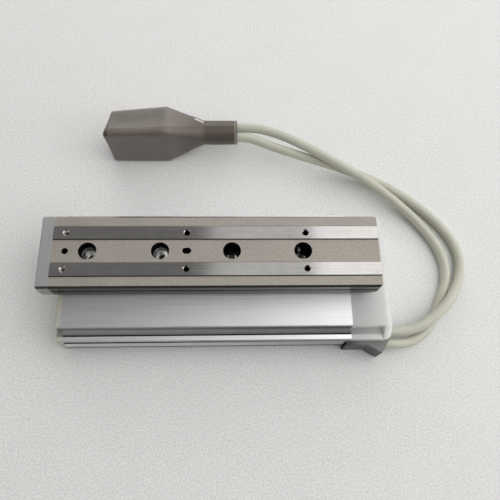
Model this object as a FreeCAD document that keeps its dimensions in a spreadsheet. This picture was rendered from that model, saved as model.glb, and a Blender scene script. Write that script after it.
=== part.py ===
import FreeCAD, Part
import math
import os
import re

import Sketcher
from FreeCAD import Placement, Rotation, Vector

# Electric slide table: a table on a ball guide, driven by a parallel motor, belt and lead screw.
# Bench frame for all sizes: X to the right from the table's left end, Y rearwards from the
# front of the table's skirts, Z up from the surface that the body stands on, in millimetres.
# One Placement then carries every sub-part to the origin, under the middle of the whole object.

doc = FreeCAD.newDocument("ElectricSlideTable")

# Driving dimensions
DIMENSIONS = {
    # whole object
    "origin_x": 77.55,
    "origin_y": 6.929,
    "run_clear": 0.03,
    "part_clear": 0.2,
    "cut_over": 1.0,
    "socket_share": 0.55,
    # table
    "table_length": 153.5,
    "table_width": 34.2,
    "table_top": 36.5,
    "table_height": 13.2,
    "table_skin": 4.8,
    "skirt_thick": 6.0,
    "land_inner": 5.5,
    "land_outer": 12.6,
    "land_step": 0.5,
    "land_break": 0.4,
    "flank_out": 0.8,
    "flank_low": 25.7,
    "flank_break": 0.9,
    "side_groove_drop": 4.9,
    "side_groove_wide": 1.3,
    "side_groove_deep": 0.6,
    "edge_break": 0.4,
    "corner_cut": 1.0,
    "end_round": 5.5,
    "thread_first": 6.0,
    "thread_pitch": 56.3,
    "thread_rows": 18.0,
    "thread_drill": 2.5,
    "thread_mouth": 3.3,
    "pin_hole": 3.0,
    "pin_slot": 4.2,
    "access_first": 16.3,
    "access_pitch": 33.6,
    "access_hole": 8.5,
    # stroke and drive line
    "stroke": 75.0,
    "drive_height": 11.25,
    "motor_y": -5.0,
    "screw_y": 29.0,
    # ball guide
    "guide_start": 6.0,
    "guide_length": 66.0,
    "guide_half": 10.3,
    "guide_top": 30.9,
    "cap_thick": 3.0,
    "cap_inset": 0.15,
    "ball_size": 3.0,
    "ball_offset": 10.7,
    "ball_height": 27.4,
    "race_size": 3.1,
    "ball_count": 5,
    "guide_hole": 6.6,
    "guide_screw_first": 24.5,
    "guide_screw_pitch": 34.0,
    "guide_screw_offset": 6.0,
    "guide_screw": 3.0,
    "guide_screw_head": 5.5,
    "guide_screw_head_long": 3.0,
    "guide_screw_long": 10.0,
    "guide_screw_deep": 5.5,
    "guide_screw_key": 2.5,
    # body extrusion
    "body_start": 3.4,
    "body_end": 141.0,
    "body_top": 22.5,
    "body_rear": 41.3,
    "body_front": -21.7,
    "top_front": -16.1,
    "channel_front": -18.5,
    "slot_front": -19.25,
    "channel_floor": 17.2,
    "slot_deep": 1.4,
    "ledge_top": 17.5,
    "groove_top": 16.4,
    "groove_low": 13.2,
    "groove_deep": 1.4,
    "foot_high": 3.4,
    "foot_step": 1.4,
    "bay_side": 19.4,
    "duct_rear": -16.2,
    "duct_front": -20.2,
    "duct_low": 5.0,
    "duct_top": 11.0,
    "mount_hole": 3.4,
    "mount_recess": 6.5,
    "mount_recess_deep": 10.0,
    # screw, nut and rod
    "screw_bore": 13.0,
    "screw_size": 6.0,
    "screw_spare": 4.0,
    "journal_size": 5.0,
    "bearing_outer": 14.0,
    "bearing_wide": 5.0,
    "rod_outer": 9.0,
    "rod_inner": 6.8,
    "rod_end": 116.0,
    "rod_solid": 14.0,
    "nut_start": 112.0,
    "nut_end": 124.0,
    "nut_outer": 12.4,
    "bush_long": 11.0,
    "collar_size": 8.0,
    "collar_long": 1.5,
    "bearing_race": 10.8,
    "bearing_gap": 1.0,
    "spacer_size": 7.0,
    "lock_nut_size": 8.0,
    "lock_nut_end": 156.4,
    "screw_end": 160.4,
    "override_size": 4.0,
    "override_slot": 1.0,
    "rod_bolt": 4.0,
    "rod_bolt_head": 7.0,
    "rod_bolt_head_long": 4.0,
    "rod_bolt_long": 10.0,
    "rod_bolt_key": 3.0,
    # belt and pulleys
    "pulley_land": 12.2,
    "pulley_flange": 15.0,
    "pulley_teeth": 20,
    "tooth_gap": 1.1,
    "belt_start": 147.3,
    "belt_wide": 4.4,
    "belt_thick": 1.2,
    "flange_thick": 0.9,
    "belt_gap": 0.3,
    "belt_lift": 0.15,
    "hub_long": 1.5,
    "hub_size": 8.0,
    "plate_thick": 2.5,
    "plate_front": -14.6,
    "plate_rear": 37.6,
    "plate_foot": 2.0,
    "plate_head": 20.5,
    "plate_motor_hole": 11.0,
    "plate_screw_hole": 9.0,
    "plate_screw": 3.0,
    "plate_screw_head": 5.5,
    "plate_screw_head_long": 2.2,
    "plate_screw_long": 8.0,
    "plate_screw_key": 2.5,
    "web_screw_y": 13.5,
    "web_screw_rise": 6.2,
    # motor
    "motor_side": 19.0,
    "stator_side": 18.4,
    "encoder_side": 18.0,
    "motor_shaft": 4.0,
    "flange_start": 135.0,
    "stator_start": 115.0,
    "bell_start": 108.0,
    "encoder_start": 97.0,
    "stator_bore": 11.0,
    "rotor_size": 10.4,
    "rotor_gap": 1.0,
    "frame_cut": 2.5,
    "motor_screw": 2.0,
    "motor_screw_head": 3.8,
    "motor_screw_head_long": 1.6,
    "motor_screw_long": 6.0,
    "motor_screw_key": 1.5,
    "motor_screw_offset": 7.0,
    "encoder_bore": 15.0,
    "encoder_wall": 1.5,
    "disc_start": 102.0,
    "disc_thick": 0.8,
    "disc_size": 12.0,
    "shaft_start": 100.5,
    # end cover and pulley cover
    "cover_start": 0.7,
    "cover_end": 161.0,
    "cover_wall": 1.7,
    "cover_round": 4.0,
    "step_round": 1.2,
    "recess_end": 156.6,
    "cavity_front": -14.9,
    "boss_size": 6.0,
    "boss_front_y": 9.0,
    "boss_rear_y": 18.0,
    "override_hole": 7.0,
    "notch_rear": -11.6,
    "notch_top": 13.0,
    "small_screw": 2.5,
    "small_head": 4.5,
    "small_head_long": 2.5,
    "small_screw_long": 8.0,
    "small_screw_spare": 1.0,
    "small_key": 2.0,
    "cover_screw_long": 23.5,
    "end_screw_y": 10.0,
    "end_screw_rise": 6.2,
    "end_screw_sink": 1.7,
    "end_screw_head_long": 1.5,
    # cable grommet
    "grommet_end": 160.6,
    "grommet_low": 0.3,
    "grommet_front": -23.6,
    "grommet_left": 138.9,
    "grommet_inner": 144.5,
    "grommet_neck": 156.0,
    "grommet_round": 0.8,
    "lug_root": 149.4,
    "lug_tip_x": 156.4,
    "lug_tip_y": -27.7,
    "lug_side_x": 157.7,
    "lug_side_y": -25.9,
    "lug_back_y": -21.2,
    "cable_seat": 158.0,
    "rear_cable_y": -16.2,
    "rear_cable_height": 7.6,
    "front_cable_y": -21.9,
    "front_cable_height": 6.2,
    # end plate
    "plate_start": -5.9,
    "plate_low": 23.2,
    "tongue_front": 22.6,
    "tongue_low": 4.6,
    "tongue_round": 3.0,
    "plate_round": 0.6,
    "work_thread_high": 30.5,
    "plate_screw_in": 3.3,
    "plate_screw_low": 26.4,
    "plate_screw_high": 32.9,
    # cables and connector cover
    "cable_size": 5.0,
    "sleeve_left": 16.4,
    "sleeve_rear_left": 20.3,
    "sleeve_foot_left": 17.6,
    "sleeve_shoulder": 49.0,
    "sleeve_front": 85.6,
    "end_rear": 100.8,
    "end_high": 27.6,
    "sleeve_rear": 103.2,
    "sleeve_high": 29.0,
    "sleeve_round": 3.0,
    "sleeve_wall": 1.5,
    "neck_start": 68.4,
    "neck_end": 86.9,
    "neck_size": 13.0,
    "neck_y": 96.4,
    "neck_height": 12.9,
    "neck_flat": 0.6,
    "sleeve_inside": 25.0,
    "plug_start": 27.0,
    "plug_end": 47.0,
    "plug_front": 88.0,
    "plug_rear": 99.6,
    "plug_low": 3.0,
    "plug_high": 24.0,
    "contact_size": 2.2,
    "contact_deep": 6.0,
    "cable_apart": 5.3,
    "cable_tilt": 1.4,
}

sheet = doc.addObject("Spreadsheet::Sheet", "Dims")
for row, (alias, number) in enumerate(DIMENSIONS.items(), start=1):
    sheet.set("A%d" % row, alias.replace("_", " "))
    sheet.set("B%d" % row, str(number))
    sheet.setAlias("B%d" % row, alias)
doc.recompute()

exported = []

# Which way a turned piece's own +X points once it is placed
ALONG = Rotation()
BACKWARDS = Rotation(Vector(0, 0, 1), 180)
DOWNWARDS = Rotation(Vector(0, 1, 0), 90)


# Small helpers: expressions, bodies, sketches and features

def formula(text):
    """Turn words such as 'table_width / 2' into an expression on the sheet's cells."""
    return re.sub(r"[a-z_]+", lambda word: "Dims." + word.group() if word.group() in DIMENSIONS
                  else word.group(), str(text))


def value(text):
    """The present number of an expression on the sheet's cells."""
    return float(sheet.evalExpression(formula(text)))


def bind(thing, prop, text):
    thing.setExpression(prop, formula(text))


def place(thing, x="0", y="0", z="0"):
    """Carry a sub-part from its own zero in the bench frame to the object's origin."""
    bind(thing, "Placement.Base.x", "%s - origin_x" % x)
    bind(thing, "Placement.Base.y", "%s - origin_y" % y)
    bind(thing, "Placement.Base.z", z)


def new_body(label, x="0", y="0", z="0"):
    body = doc.addObject("PartDesign::Body", label)
    body.Label = label
    place(body, x, y, z)
    return body


def keep(thing):
    """Put a sub-part on the list of those that are written out."""
    exported.append(thing)
    return thing


def sketch_on(body, role, offset="0"):
    sketch = body.newObject("Sketcher::SketchObject", body.Label + "_sketch")
    plane = next(item for item in body.Origin.OriginFeatures if item.Role == role)
    sketch.AttachmentSupport = [(plane, "")]
    sketch.MapMode = "FlatFace"
    bind(sketch, "AttachmentOffset.Base.z", offset)
    return sketch


def pin_point(sketch, geometry, end, across, up):
    """Fix one point of a sketch at two expressions."""
    for kind, text in (("DistanceX", across), ("DistanceY", up)):
        number = sketch.addConstraint(Sketcher.Constraint(kind, -1, 1, geometry, end, value(text)))
        bind(sketch, "Constraints[%d]" % number, text)


def polygon(sketch, corners):
    """A closed outline through corners given as pairs of expressions."""
    points = [Vector(value(across), value(up), 0) for across, up in corners]
    first = sketch.GeometryCount
    count = len(corners)
    for i in range(count):
        sketch.addGeometry(Part.LineSegment(points[i], points[(i + 1) % count]))
    for i in range(count):
        follower = first + (i + 1) % count
        sketch.addConstraint(Sketcher.Constraint("Coincident", first + i, 2, follower, 1))
    for i, (across, up) in enumerate(corners):
        pin_point(sketch, first + i, 1, across, up)


def rectangle(sketch, left, low, right, high):
    polygon(sketch, [(left, low), (right, low), (right, high), (left, high)])


def circle(sketch, across, up, diameter):
    middle = Vector(value(across), value(up), 0)
    number = sketch.addGeometry(Part.Circle(middle, Vector(0, 0, 1), value(diameter) / 2))
    pin_point(sketch, number, 3, across, up)
    ring = sketch.addConstraint(Sketcher.Constraint("Diameter", number, value(diameter)))
    bind(sketch, "Constraints[%d]" % ring, diameter)


def rounded(sketch, centres, diameter):
    """A closed outline of equal arcs about the centres, anticlockwise, joined by tangent lines."""
    points = [Vector(value(across), value(up), 0) for across, up in centres]
    radius = value(diameter) / 2
    count = len(points)
    normals = []
    for i in range(count):
        run = points[(i + 1) % count] - points[i]
        normals.append(Vector(run.y, -run.x, 0).normalize())
    first = sketch.GeometryCount
    for i in range(count):
        start = math.atan2(normals[i - 1].y, normals[i - 1].x)
        finish = math.atan2(normals[i].y, normals[i].x)
        arc = Part.ArcOfCircle(Part.Circle(points[i], Vector(0, 0, 1), radius), start, finish)
        sketch.addGeometry(arc)
        after = points[(i + 1) % count]
        line = Part.LineSegment(points[i] + normals[i] * radius, after + normals[i] * radius)
        sketch.addGeometry(line)
    for i, (across, up) in enumerate(centres):
        arc = first + 2 * i
        follower = first + 2 * ((i + 1) % count)
        sketch.addConstraint(Sketcher.Constraint("Tangent", arc, 2, arc + 1, 1))
        sketch.addConstraint(Sketcher.Constraint("Tangent", arc + 1, 2, follower, 1))
        pin_point(sketch, arc, 3, across, up)
        size = sketch.addConstraint(Sketcher.Constraint("Diameter", arc, value(diameter)))
        bind(sketch, "Constraints[%d]" % size, diameter)


def pad(body, sketch, length):
    feature = body.newObject("PartDesign::Pad", body.Label + "_pad")
    feature.Profile = sketch
    bind(feature, "Length", length)
    doc.recompute()
    return feature


def pocket(body, sketch, depth, forward=False):
    """Cut away along a sketch's normal, backwards unless forward is set, and make sure it cuts."""
    before = body.Shape.Volume
    feature = body.newObject("PartDesign::Pocket", body.Label + "_pocket")
    feature.Profile = sketch
    feature.Reversed = forward
    bind(feature, "Length", depth)
    doc.recompute()
    if not body.Shape.Volume < before:
        raise RuntimeError("%s: a pocket cuts nothing" % body.Label)
    return feature


def revolve(body, corners):
    """Turn a half outline, pairs of place along X and radius, about the body's X axis."""
    sketch = sketch_on(body, "XY_Plane")
    polygon(sketch, corners)
    feature = body.newObject("PartDesign::Revolution", body.Label + "_turn")
    feature.Profile = sketch
    feature.ReferenceAxis = (sketch, ["H_Axis"])
    feature.Angle = 360
    doc.recompute()
    return feature


def ring(label, axis_y, start, end, outer, inner):
    """A plain turned ring or tube on an axis along X at drive height."""
    body = new_body(label, y=axis_y, z="drive_height")
    revolve(body, [(start, "%s / 2" % inner), (end, "%s / 2" % inner),
                   (end, "%s / 2" % outer), (start, "%s / 2" % outer)])
    return body


def edges_where(shape, test):
    """Names of the edges whose middle point and ends pass a test."""
    names = []
    for i, edge in enumerate(shape.Edges, start=1):
        if test(edge):
            names.append("Edge%d" % i)
    return names


def soften(body, kind, test, size):
    """Fillet or chamfer the edges of the body's last feature that pass a test."""
    tip = body.Tip
    names = edges_where(tip.Shape, test)
    if not names:
        raise RuntimeError("%s: no edge to soften" % body.Label)
    feature = body.newObject("PartDesign::" + kind, body.Label + "_" + kind.lower())
    feature.Base = (tip, names)
    bind(feature, "Radius" if kind == "Fillet" else "Size", size)
    doc.recompute()
    return feature


def near(number, text):
    return abs(number - value(text)) < 1e-4


def lies_at(edge, **places):
    """True where every point of an edge has the given x, y or z."""
    box = edge.BoundBox
    limits = {"x": (box.XMin, box.XMax), "y": (box.YMin, box.YMax), "z": (box.ZMin, box.ZMax)}
    return all(near(limits[axis][0], text) and near(limits[axis][1], text)
               for axis, text in places.items())


def is_rim(edge, z, diameter):
    """True for the round mouth of a hole of this size at this height."""
    return (lies_at(edge, z=z) and isinstance(edge.Curve, Part.Circle)
            and near(edge.Curve.Radius, "%s / 2" % diameter))


def group(label, master, places, turn=ALONG):
    """Several separate solids of one master shape, at bench-frame places, as one sub-part."""
    copies = []
    for x, y, z in places:
        copy = doc.addObject("App::Link", label + "_copy")
        copy.LinkedObject = master
        copy.Placement = Placement(Vector(), turn)
        place(copy, x, y, z)
        copies.append(copy)
    compound = doc.addObject("Part::Compound", label)
    compound.Label = label
    compound.Links = copies
    return keep(compound)


def hexagon(sketch, across_flats):
    """A hexagon about the sketch's zero, by its width across flats."""
    corners = []
    for i in range(6):
        turn = math.radians(60 * i)
        corners.append(("%s / sqrt(3) * %.6f" % (across_flats, math.cos(turn)),
                        "%s / sqrt(3) * %.6f" % (across_flats, math.sin(turn))))
    polygon(sketch, corners)


def cap_screw(label, head, head_long, shank, shank_long, key):
    """A socket head screw along X: its head ends at zero and its shank starts there."""
    body = doc.addObject("PartDesign::Body", label)
    body.Label = label
    revolve(body, [("-" + head_long, "0"), (shank_long, "0"), (shank_long, shank + " / 2"),
                   ("0", shank + " / 2"), ("0", head + " / 2"), ("-" + head_long, head + " / 2")])
    socket = sketch_on(body, "YZ_Plane", "-" + head_long)
    hexagon(socket, key)
    pocket(body, socket, "socket_share * " + head_long, forward=True)
    return body


# Places that several sub-parts share
CENTRE = "table_width / 2"
THREAD_X = ["thread_first + %d * thread_pitch" % i for i in range(3)]
THREAD_Y = [CENTRE + " - thread_rows / 2", CENTRE + " + thread_rows / 2"]
ACCESS_X = ["access_first + %d * access_pitch" % i for i in range(4)]
RACE_Y = [CENTRE + " - ball_offset", CENTRE + " + ball_offset"]
GUIDE_SCREWS = [("guide_screw_first + %d * guide_screw_pitch" % i,
                 CENTRE + " + %d * guide_screw_offset" % side)
                for i in (0, 1) for side in (-1, 1)]
PLATE_SCREWS = [("web_screw_y", "drive_height + web_screw_rise"),
                ("web_screw_y", "drive_height - web_screw_rise")]
COVER_SCREWS = [("boss_front_y", "drive_height"), ("boss_rear_y", "drive_height")]
END_COVER_SCREWS = [("end_screw_y", "drive_height + end_screw_rise"),
                    ("end_screw_y", "drive_height - end_screw_rise")]
MOTOR_SCREWS = [("motor_y - motor_screw_offset", "drive_height + motor_screw_offset"),
                ("motor_y + motor_screw_offset", "drive_height - motor_screw_offset")]
END_PLATE_SCREWS = [(y, z) for y in ("plate_screw_in", "table_width - plate_screw_in")
                    for z in ("plate_screw_low", "plate_screw_high")]
PULLEY_LEFT = "belt_start - flange_thick - hub_long"
PULLEY_RIGHT = "belt_start + belt_wide + belt_gap + flange_thick"
CABLE_EXITS = [("rear_cable_y", "rear_cable_height"), ("front_cable_y", "front_cable_height")]
CABLE_ENDS = [("neck_y - cable_apart / 2", "neck_height - cable_tilt / 2"),
              ("neck_y + cable_apart / 2", "neck_height + cable_tilt / 2")]


def holes(body, role, offset, places, diameter, depth, forward=False):
    """Round holes of one size, drilled from a plane of the bench frame."""
    sketch = sketch_on(body, role, offset)
    for across, up in places:
        circle(sketch, across, up, diameter)
    return pocket(body, sketch, depth, forward)


def stepped_outline():
    """The section that both end covers share with the body: flat top, step and front ledge."""
    return [("body_front", "0"), ("body_rear", "0"), ("body_rear", "body_top"),
            ("top_front", "body_top"), ("top_front", "channel_floor"),
            ("slot_front", "channel_floor"), ("slot_front", "ledge_top"),
            ("body_front", "ledge_top")]


def square_frame(sketch, middle_y, side):
    """A motor's square section with its corners cut."""
    half = "%s / 2" % side
    inner = "%s / 2 - frame_cut" % side
    signs = [(1, "+", "-"), (1, "+", "+"), (0, "+", "+"), (0, "-", "+"),
             (1, "-", "+"), (1, "-", "-"), (0, "-", "-"), (0, "+", "-")]
    corners = []
    for flank, across, up in signs:
        reach = (half, inner) if flank else (inner, half)
        corners.append(("%s %s (%s)" % (middle_y, across, reach[0]),
                        "drive_height %s (%s)" % (up, reach[1])))
    polygon(sketch, corners)


# Table and what rides on it

def make_table():
    body = new_body("table")
    low = "table_top - table_height"
    roof = "table_top - table_skin"
    matte = "table_top - land_step"
    front = "-flank_out"
    rear = "table_width + flank_out"
    section = sketch_on(body, "YZ_Plane")
    polygon(section, [
        (front, "flank_low"), ("skirt_thick", "flank_low"), ("skirt_thick", roof),
        ("table_width - skirt_thick", roof), ("table_width - skirt_thick", "flank_low"),
        (rear, "flank_low"), (rear, matte), (CENTRE + " + land_outer", matte),
        (CENTRE + " + land_outer", "table_top"), (CENTRE + " + land_inner", "table_top"),
        (CENTRE + " + land_inner", matte), (CENTRE + " - land_inner", matte),
        (CENTRE + " - land_inner", "table_top"), (CENTRE + " - land_outer", "table_top"),
        (CENTRE + " - land_outer", matte), (front, matte)])
    pad(body, section, "table_length")
    soften(body, "Fillet", lambda edge: lies_at(edge, x="table_length", z="flank_low"), "end_round")
    soften(body, "Chamfer", lambda edge: lies_at(edge, y=front, z=matte)
           or lies_at(edge, y=rear, z=matte), "flank_break")
    soften(body, "Chamfer", lambda edge: lies_at(edge, z="table_top")
           and edge.BoundBox.XLength > value("land_outer"), "land_break")
    skirts = sketch_on(body, "YZ_Plane")
    rectangle(skirts, "0", low, "skirt_thick", "flank_low")
    rectangle(skirts, "table_width - skirt_thick", low, "table_width", "flank_low")
    pad(body, skirts, "table_length - end_round")
    groove_top = "table_top - side_groove_drop"
    groove_low = "table_top - side_groove_drop - side_groove_wide"
    grooves = sketch_on(body, "YZ_Plane")
    rectangle(grooves, front + " - cut_over", groove_low, front + " + side_groove_deep", groove_top)
    rectangle(grooves, rear + " - side_groove_deep", groove_low, rear + " + cut_over", groove_top)
    pocket(body, grooves, "table_length", forward=True)
    corners = sketch_on(body, "XY_Plane", "table_top")
    polygon(corners, [("table_length - corner_cut", front), ("table_length", front),
                      ("table_length", front + " + corner_cut")])
    polygon(corners, [("table_length - corner_cut", rear), ("table_length", rear),
                      ("table_length", rear + " - corner_cut")])
    pocket(body, corners, "table_height")
    holes(body, "YZ_Plane", "table_length", [(y, "ball_height") for y in RACE_Y],
          "race_size", "table_length")
    holes(body, "XY_Plane", "table_top", [(x, y) for x in THREAD_X for y in THREAD_Y],
          "thread_drill", "table_skin + land_step")
    holes(body, "XY_Plane", "table_top", [(x, CENTRE) for x in ACCESS_X],
          "access_hole", "table_skin + land_step")
    soften(body, "Chamfer", lambda edge: is_rim(edge, "table_top", "thread_drill"),
           "(thread_mouth - thread_drill) / 2")
    holes(body, "XY_Plane", "table_top", [(THREAD_X[0], CENTRE)], "pin_hole",
          "table_skin + land_step")
    slot = sketch_on(body, "XY_Plane", "table_top")
    rounded(slot, [(THREAD_X[1] + " - (pin_slot - pin_hole) / 2", CENTRE),
                   (THREAD_X[1] + " + (pin_slot - pin_hole) / 2", CENTRE)], "pin_hole")
    pocket(body, slot, "table_skin + land_step")
    holes(body, "YZ_Plane", "0", END_PLATE_SCREWS, "small_screw + run_clear",
          "small_screw_long", forward=True)
    keep(body)


def make_end_plate():
    body = new_body("end_plate")
    high = "table_top - land_step"
    outline = sketch_on(body, "YZ_Plane", "plate_start")
    front = "-flank_out"
    rear = "table_width + flank_out"
    polygon(outline, [("0", "plate_low"), ("tongue_front", "plate_low"), ("tongue_front", "tongue_low"),
                      ("table_width", "tongue_low"), ("table_width", "flank_low"), (rear, "flank_low"),
                      (rear, high + " - flank_break"), (rear + " - flank_break", high),
                      (front + " + flank_break", high), (front, high + " - flank_break"),
                      (front, "flank_low"), ("0", "flank_low")])
    pad(body, outline, "-plate_start")
    soften(body, "Fillet", lambda edge: lies_at(edge, y="tongue_front", z="tongue_low")
           or lies_at(edge, y="table_width", z="tongue_low")
           or lies_at(edge, y="tongue_front", z="plate_low"), "tongue_round")
    soften(body, "Fillet", lambda edge: lies_at(edge, x="plate_start")
           and edge.CenterOfMass.z > value("flank_low + plate_round"), "plate_round")
    holes(body, "YZ_Plane", "0", END_PLATE_SCREWS, "small_screw + part_clear", "-plate_start")
    holes(body, "YZ_Plane", "plate_start", END_PLATE_SCREWS, "small_head + 2 * part_clear",
          "small_head_long + part_clear", forward=True)
    holes(body, "YZ_Plane", "0", [(y, "work_thread_high") for y in THREAD_Y],
          "thread_drill", "-plate_start")
    rod_axis = [("screw_y", "drive_height")]
    holes(body, "YZ_Plane", "0", rod_axis, "rod_bolt + part_clear", "-plate_start")
    holes(body, "YZ_Plane", "plate_start", rod_axis, "rod_bolt_head + 2 * part_clear",
          "rod_bolt_head_long + part_clear", forward=True)
    keep(body)


def make_rod_and_nut():
    rod = new_body("rod", y="screw_y", z="drive_height")
    revolve(rod, [("0", "rod_bolt / 2 + run_clear / 2"),
                  ("rod_bolt_long", "rod_bolt / 2 + run_clear / 2"), ("rod_bolt_long", "0"),
                  ("rod_solid", "0"), ("rod_solid", "rod_inner / 2"), ("rod_end", "rod_inner / 2"),
                  ("rod_end", "rod_outer / 2"), ("0", "rod_outer / 2")])
    keep(rod)
    nut = new_body("lead_nut", y="screw_y", z="drive_height")
    revolve(nut, [("nut_start", "rod_outer / 2 + run_clear / 2"),
                  ("rod_end", "rod_outer / 2 + run_clear / 2"),
                  ("rod_end", "screw_size / 2 + run_clear"), ("nut_end", "screw_size / 2 + run_clear"),
                  ("nut_end", "nut_outer / 2"), ("nut_start", "nut_outer / 2")])
    keep(nut)


# Ball guide between the body and the table

def make_guide():
    start = "guide_start + cap_thick"
    length = "guide_length - 2 * cap_thick"
    block = new_body("guide_block")
    section = sketch_on(block, "YZ_Plane", start)
    rectangle(section, CENTRE + " - guide_half", "body_top", CENTRE + " + guide_half", "guide_top")
    pad(block, section, length)
    holes(block, "YZ_Plane", "guide_start + guide_length", [(y, "ball_height") for y in RACE_Y],
          "race_size", "guide_length")
    holes(block, "XY_Plane", "guide_top", [(x, CENTRE) for x in ACCESS_X[:2]],
          "guide_hole", "guide_top - body_top")
    holes(block, "XY_Plane", "guide_top", GUIDE_SCREWS, "guide_screw + part_clear",
          "guide_top - body_top")
    holes(block, "XY_Plane", "guide_top", GUIDE_SCREWS, "guide_screw_head + 2 * part_clear",
          "guide_screw_head_long + part_clear")
    keep(block)

    cap = doc.addObject("PartDesign::Body", "guide_cap_master")
    outline = sketch_on(cap, "YZ_Plane")
    rectangle(outline, "cap_inset - guide_half", "cap_inset", "guide_half - cap_inset",
              "guide_top - body_top - cap_inset")
    pad(cap, outline, "cap_thick")
    soften(cap, "Chamfer", lambda edge: lies_at(edge, z="guide_top - body_top - cap_inset")
           and edge.BoundBox.XLength > value("cap_inset"), "edge_break")
    group("guide_end_caps", cap, [("guide_start", CENTRE, "body_top"),
                                  ("guide_start + guide_length - cap_thick", CENTRE, "body_top")])

    ball = doc.addObject("Part::Sphere", "guide_ball_master")
    bind(ball, "Radius", "ball_size / 2")
    spread = "(guide_length - 2 * cap_thick) / ball_count"
    places = []
    for i in range(int(value("ball_count"))):
        for y in RACE_Y:
            places.append(("%s + %s * %g" % (start, spread, i + 0.5), y, "ball_height"))
    group("guide_balls", ball, places)

    screw = cap_screw("guide_screw_master", "guide_screw_head", "guide_screw_head_long",
                      "guide_screw", "guide_screw_long", "guide_screw_key")
    seat = "guide_top - guide_screw_head_long - part_clear"
    group("guide_screws", screw, [(x, y, seat) for x, y in GUIDE_SCREWS], DOWNWARDS)


# Body and its end covers

def make_body():
    body = new_body("body_extrusion")
    section = sketch_on(body, "YZ_Plane", "body_start")
    floor = "channel_floor - slot_deep"
    polygon(section, [
        ("body_front + foot_step", "0"), ("body_rear - foot_step", "0"),
        ("body_rear - foot_step", "foot_high"), ("body_rear", "foot_high"),
        ("body_rear", "body_top"), ("top_front", "body_top"), ("top_front", "channel_floor"),
        ("channel_front", "channel_floor"), ("channel_front", floor), ("slot_front", floor),
        ("slot_front", "ledge_top"), ("body_front", "ledge_top"), ("body_front", "groove_top"),
        ("body_front + groove_deep", "groove_top"), ("body_front + groove_deep", "groove_low"),
        ("body_front", "groove_low"), ("body_front", "foot_high"),
        ("body_front + foot_step", "foot_high")])
    rectangle(section, "motor_y - bay_side / 2", "drive_height - bay_side / 2",
              "motor_y + bay_side / 2", "drive_height + bay_side / 2")
    rectangle(section, "duct_front", "duct_low", "duct_rear", "duct_top")
    circle(section, "screw_y", "drive_height", "screw_bore")
    pad(body, section, "body_end - body_start")
    soften(body, "Chamfer", lambda edge: lies_at(edge, y="top_front", z="body_top")
           or lies_at(edge, y="body_rear", z="body_top")
           or lies_at(edge, y="body_front", z="ledge_top"), "edge_break")
    holes(body, "YZ_Plane", "body_end", [("screw_y", "drive_height")], "bearing_outer + run_clear",
          "2 * bearing_wide")
    holes(body, "YZ_Plane", "body_end", PLATE_SCREWS, "plate_screw + run_clear", "plate_screw_long")
    holes(body, "YZ_Plane", "body_end", COVER_SCREWS, "small_screw + run_clear", "small_screw_long")
    holes(body, "YZ_Plane", "body_start", END_COVER_SCREWS, "small_screw + run_clear",
          "small_screw_long", forward=True)
    mounts = [(x, CENTRE) for x in ACCESS_X]
    holes(body, "XY_Plane", "body_top", mounts, "mount_hole", "body_top")
    holes(body, "XY_Plane", "body_top", mounts, "mount_recess", "mount_recess_deep")
    holes(body, "XY_Plane", "body_top", GUIDE_SCREWS, "guide_screw + run_clear", "guide_screw_deep")
    keep(body)


def make_end_cover():
    body = new_body("end_cover")
    outline = sketch_on(body, "YZ_Plane", "cover_start")
    polygon(outline, stepped_outline())
    pad(body, outline, "body_start - cover_start")
    soften(body, "Fillet", lambda edge: lies_at(edge, y="top_front", z="body_top")
           or lies_at(edge, y="body_front", z="ledge_top")
           or lies_at(edge, y="body_rear", z="body_top"), "step_round")
    soften(body, "Chamfer", lambda edge: lies_at(edge, x="cover_start")
           and (edge.CenterOfMass.z > value("body_top - step_round")
                or lies_at(edge, y="body_rear")), "edge_break")
    holes(body, "YZ_Plane", "body_start", [("screw_y", "drive_height")], "screw_bore",
          "body_start - cover_start")
    holes(body, "YZ_Plane", "body_start", END_COVER_SCREWS, "small_screw + part_clear",
          "body_start - cover_start")
    holes(body, "YZ_Plane", "cover_start", END_COVER_SCREWS, "small_head + 2 * part_clear",
          "end_screw_sink", forward=True)
    keep(body)
    screw = cap_screw("end_cover_screw_master", "small_head", "end_screw_head_long",
                      "small_screw", "small_screw_long", "small_key")
    group("end_cover_screws", screw,
          [("cover_start + end_screw_sink", y, z) for y, z in END_COVER_SCREWS])


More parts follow.
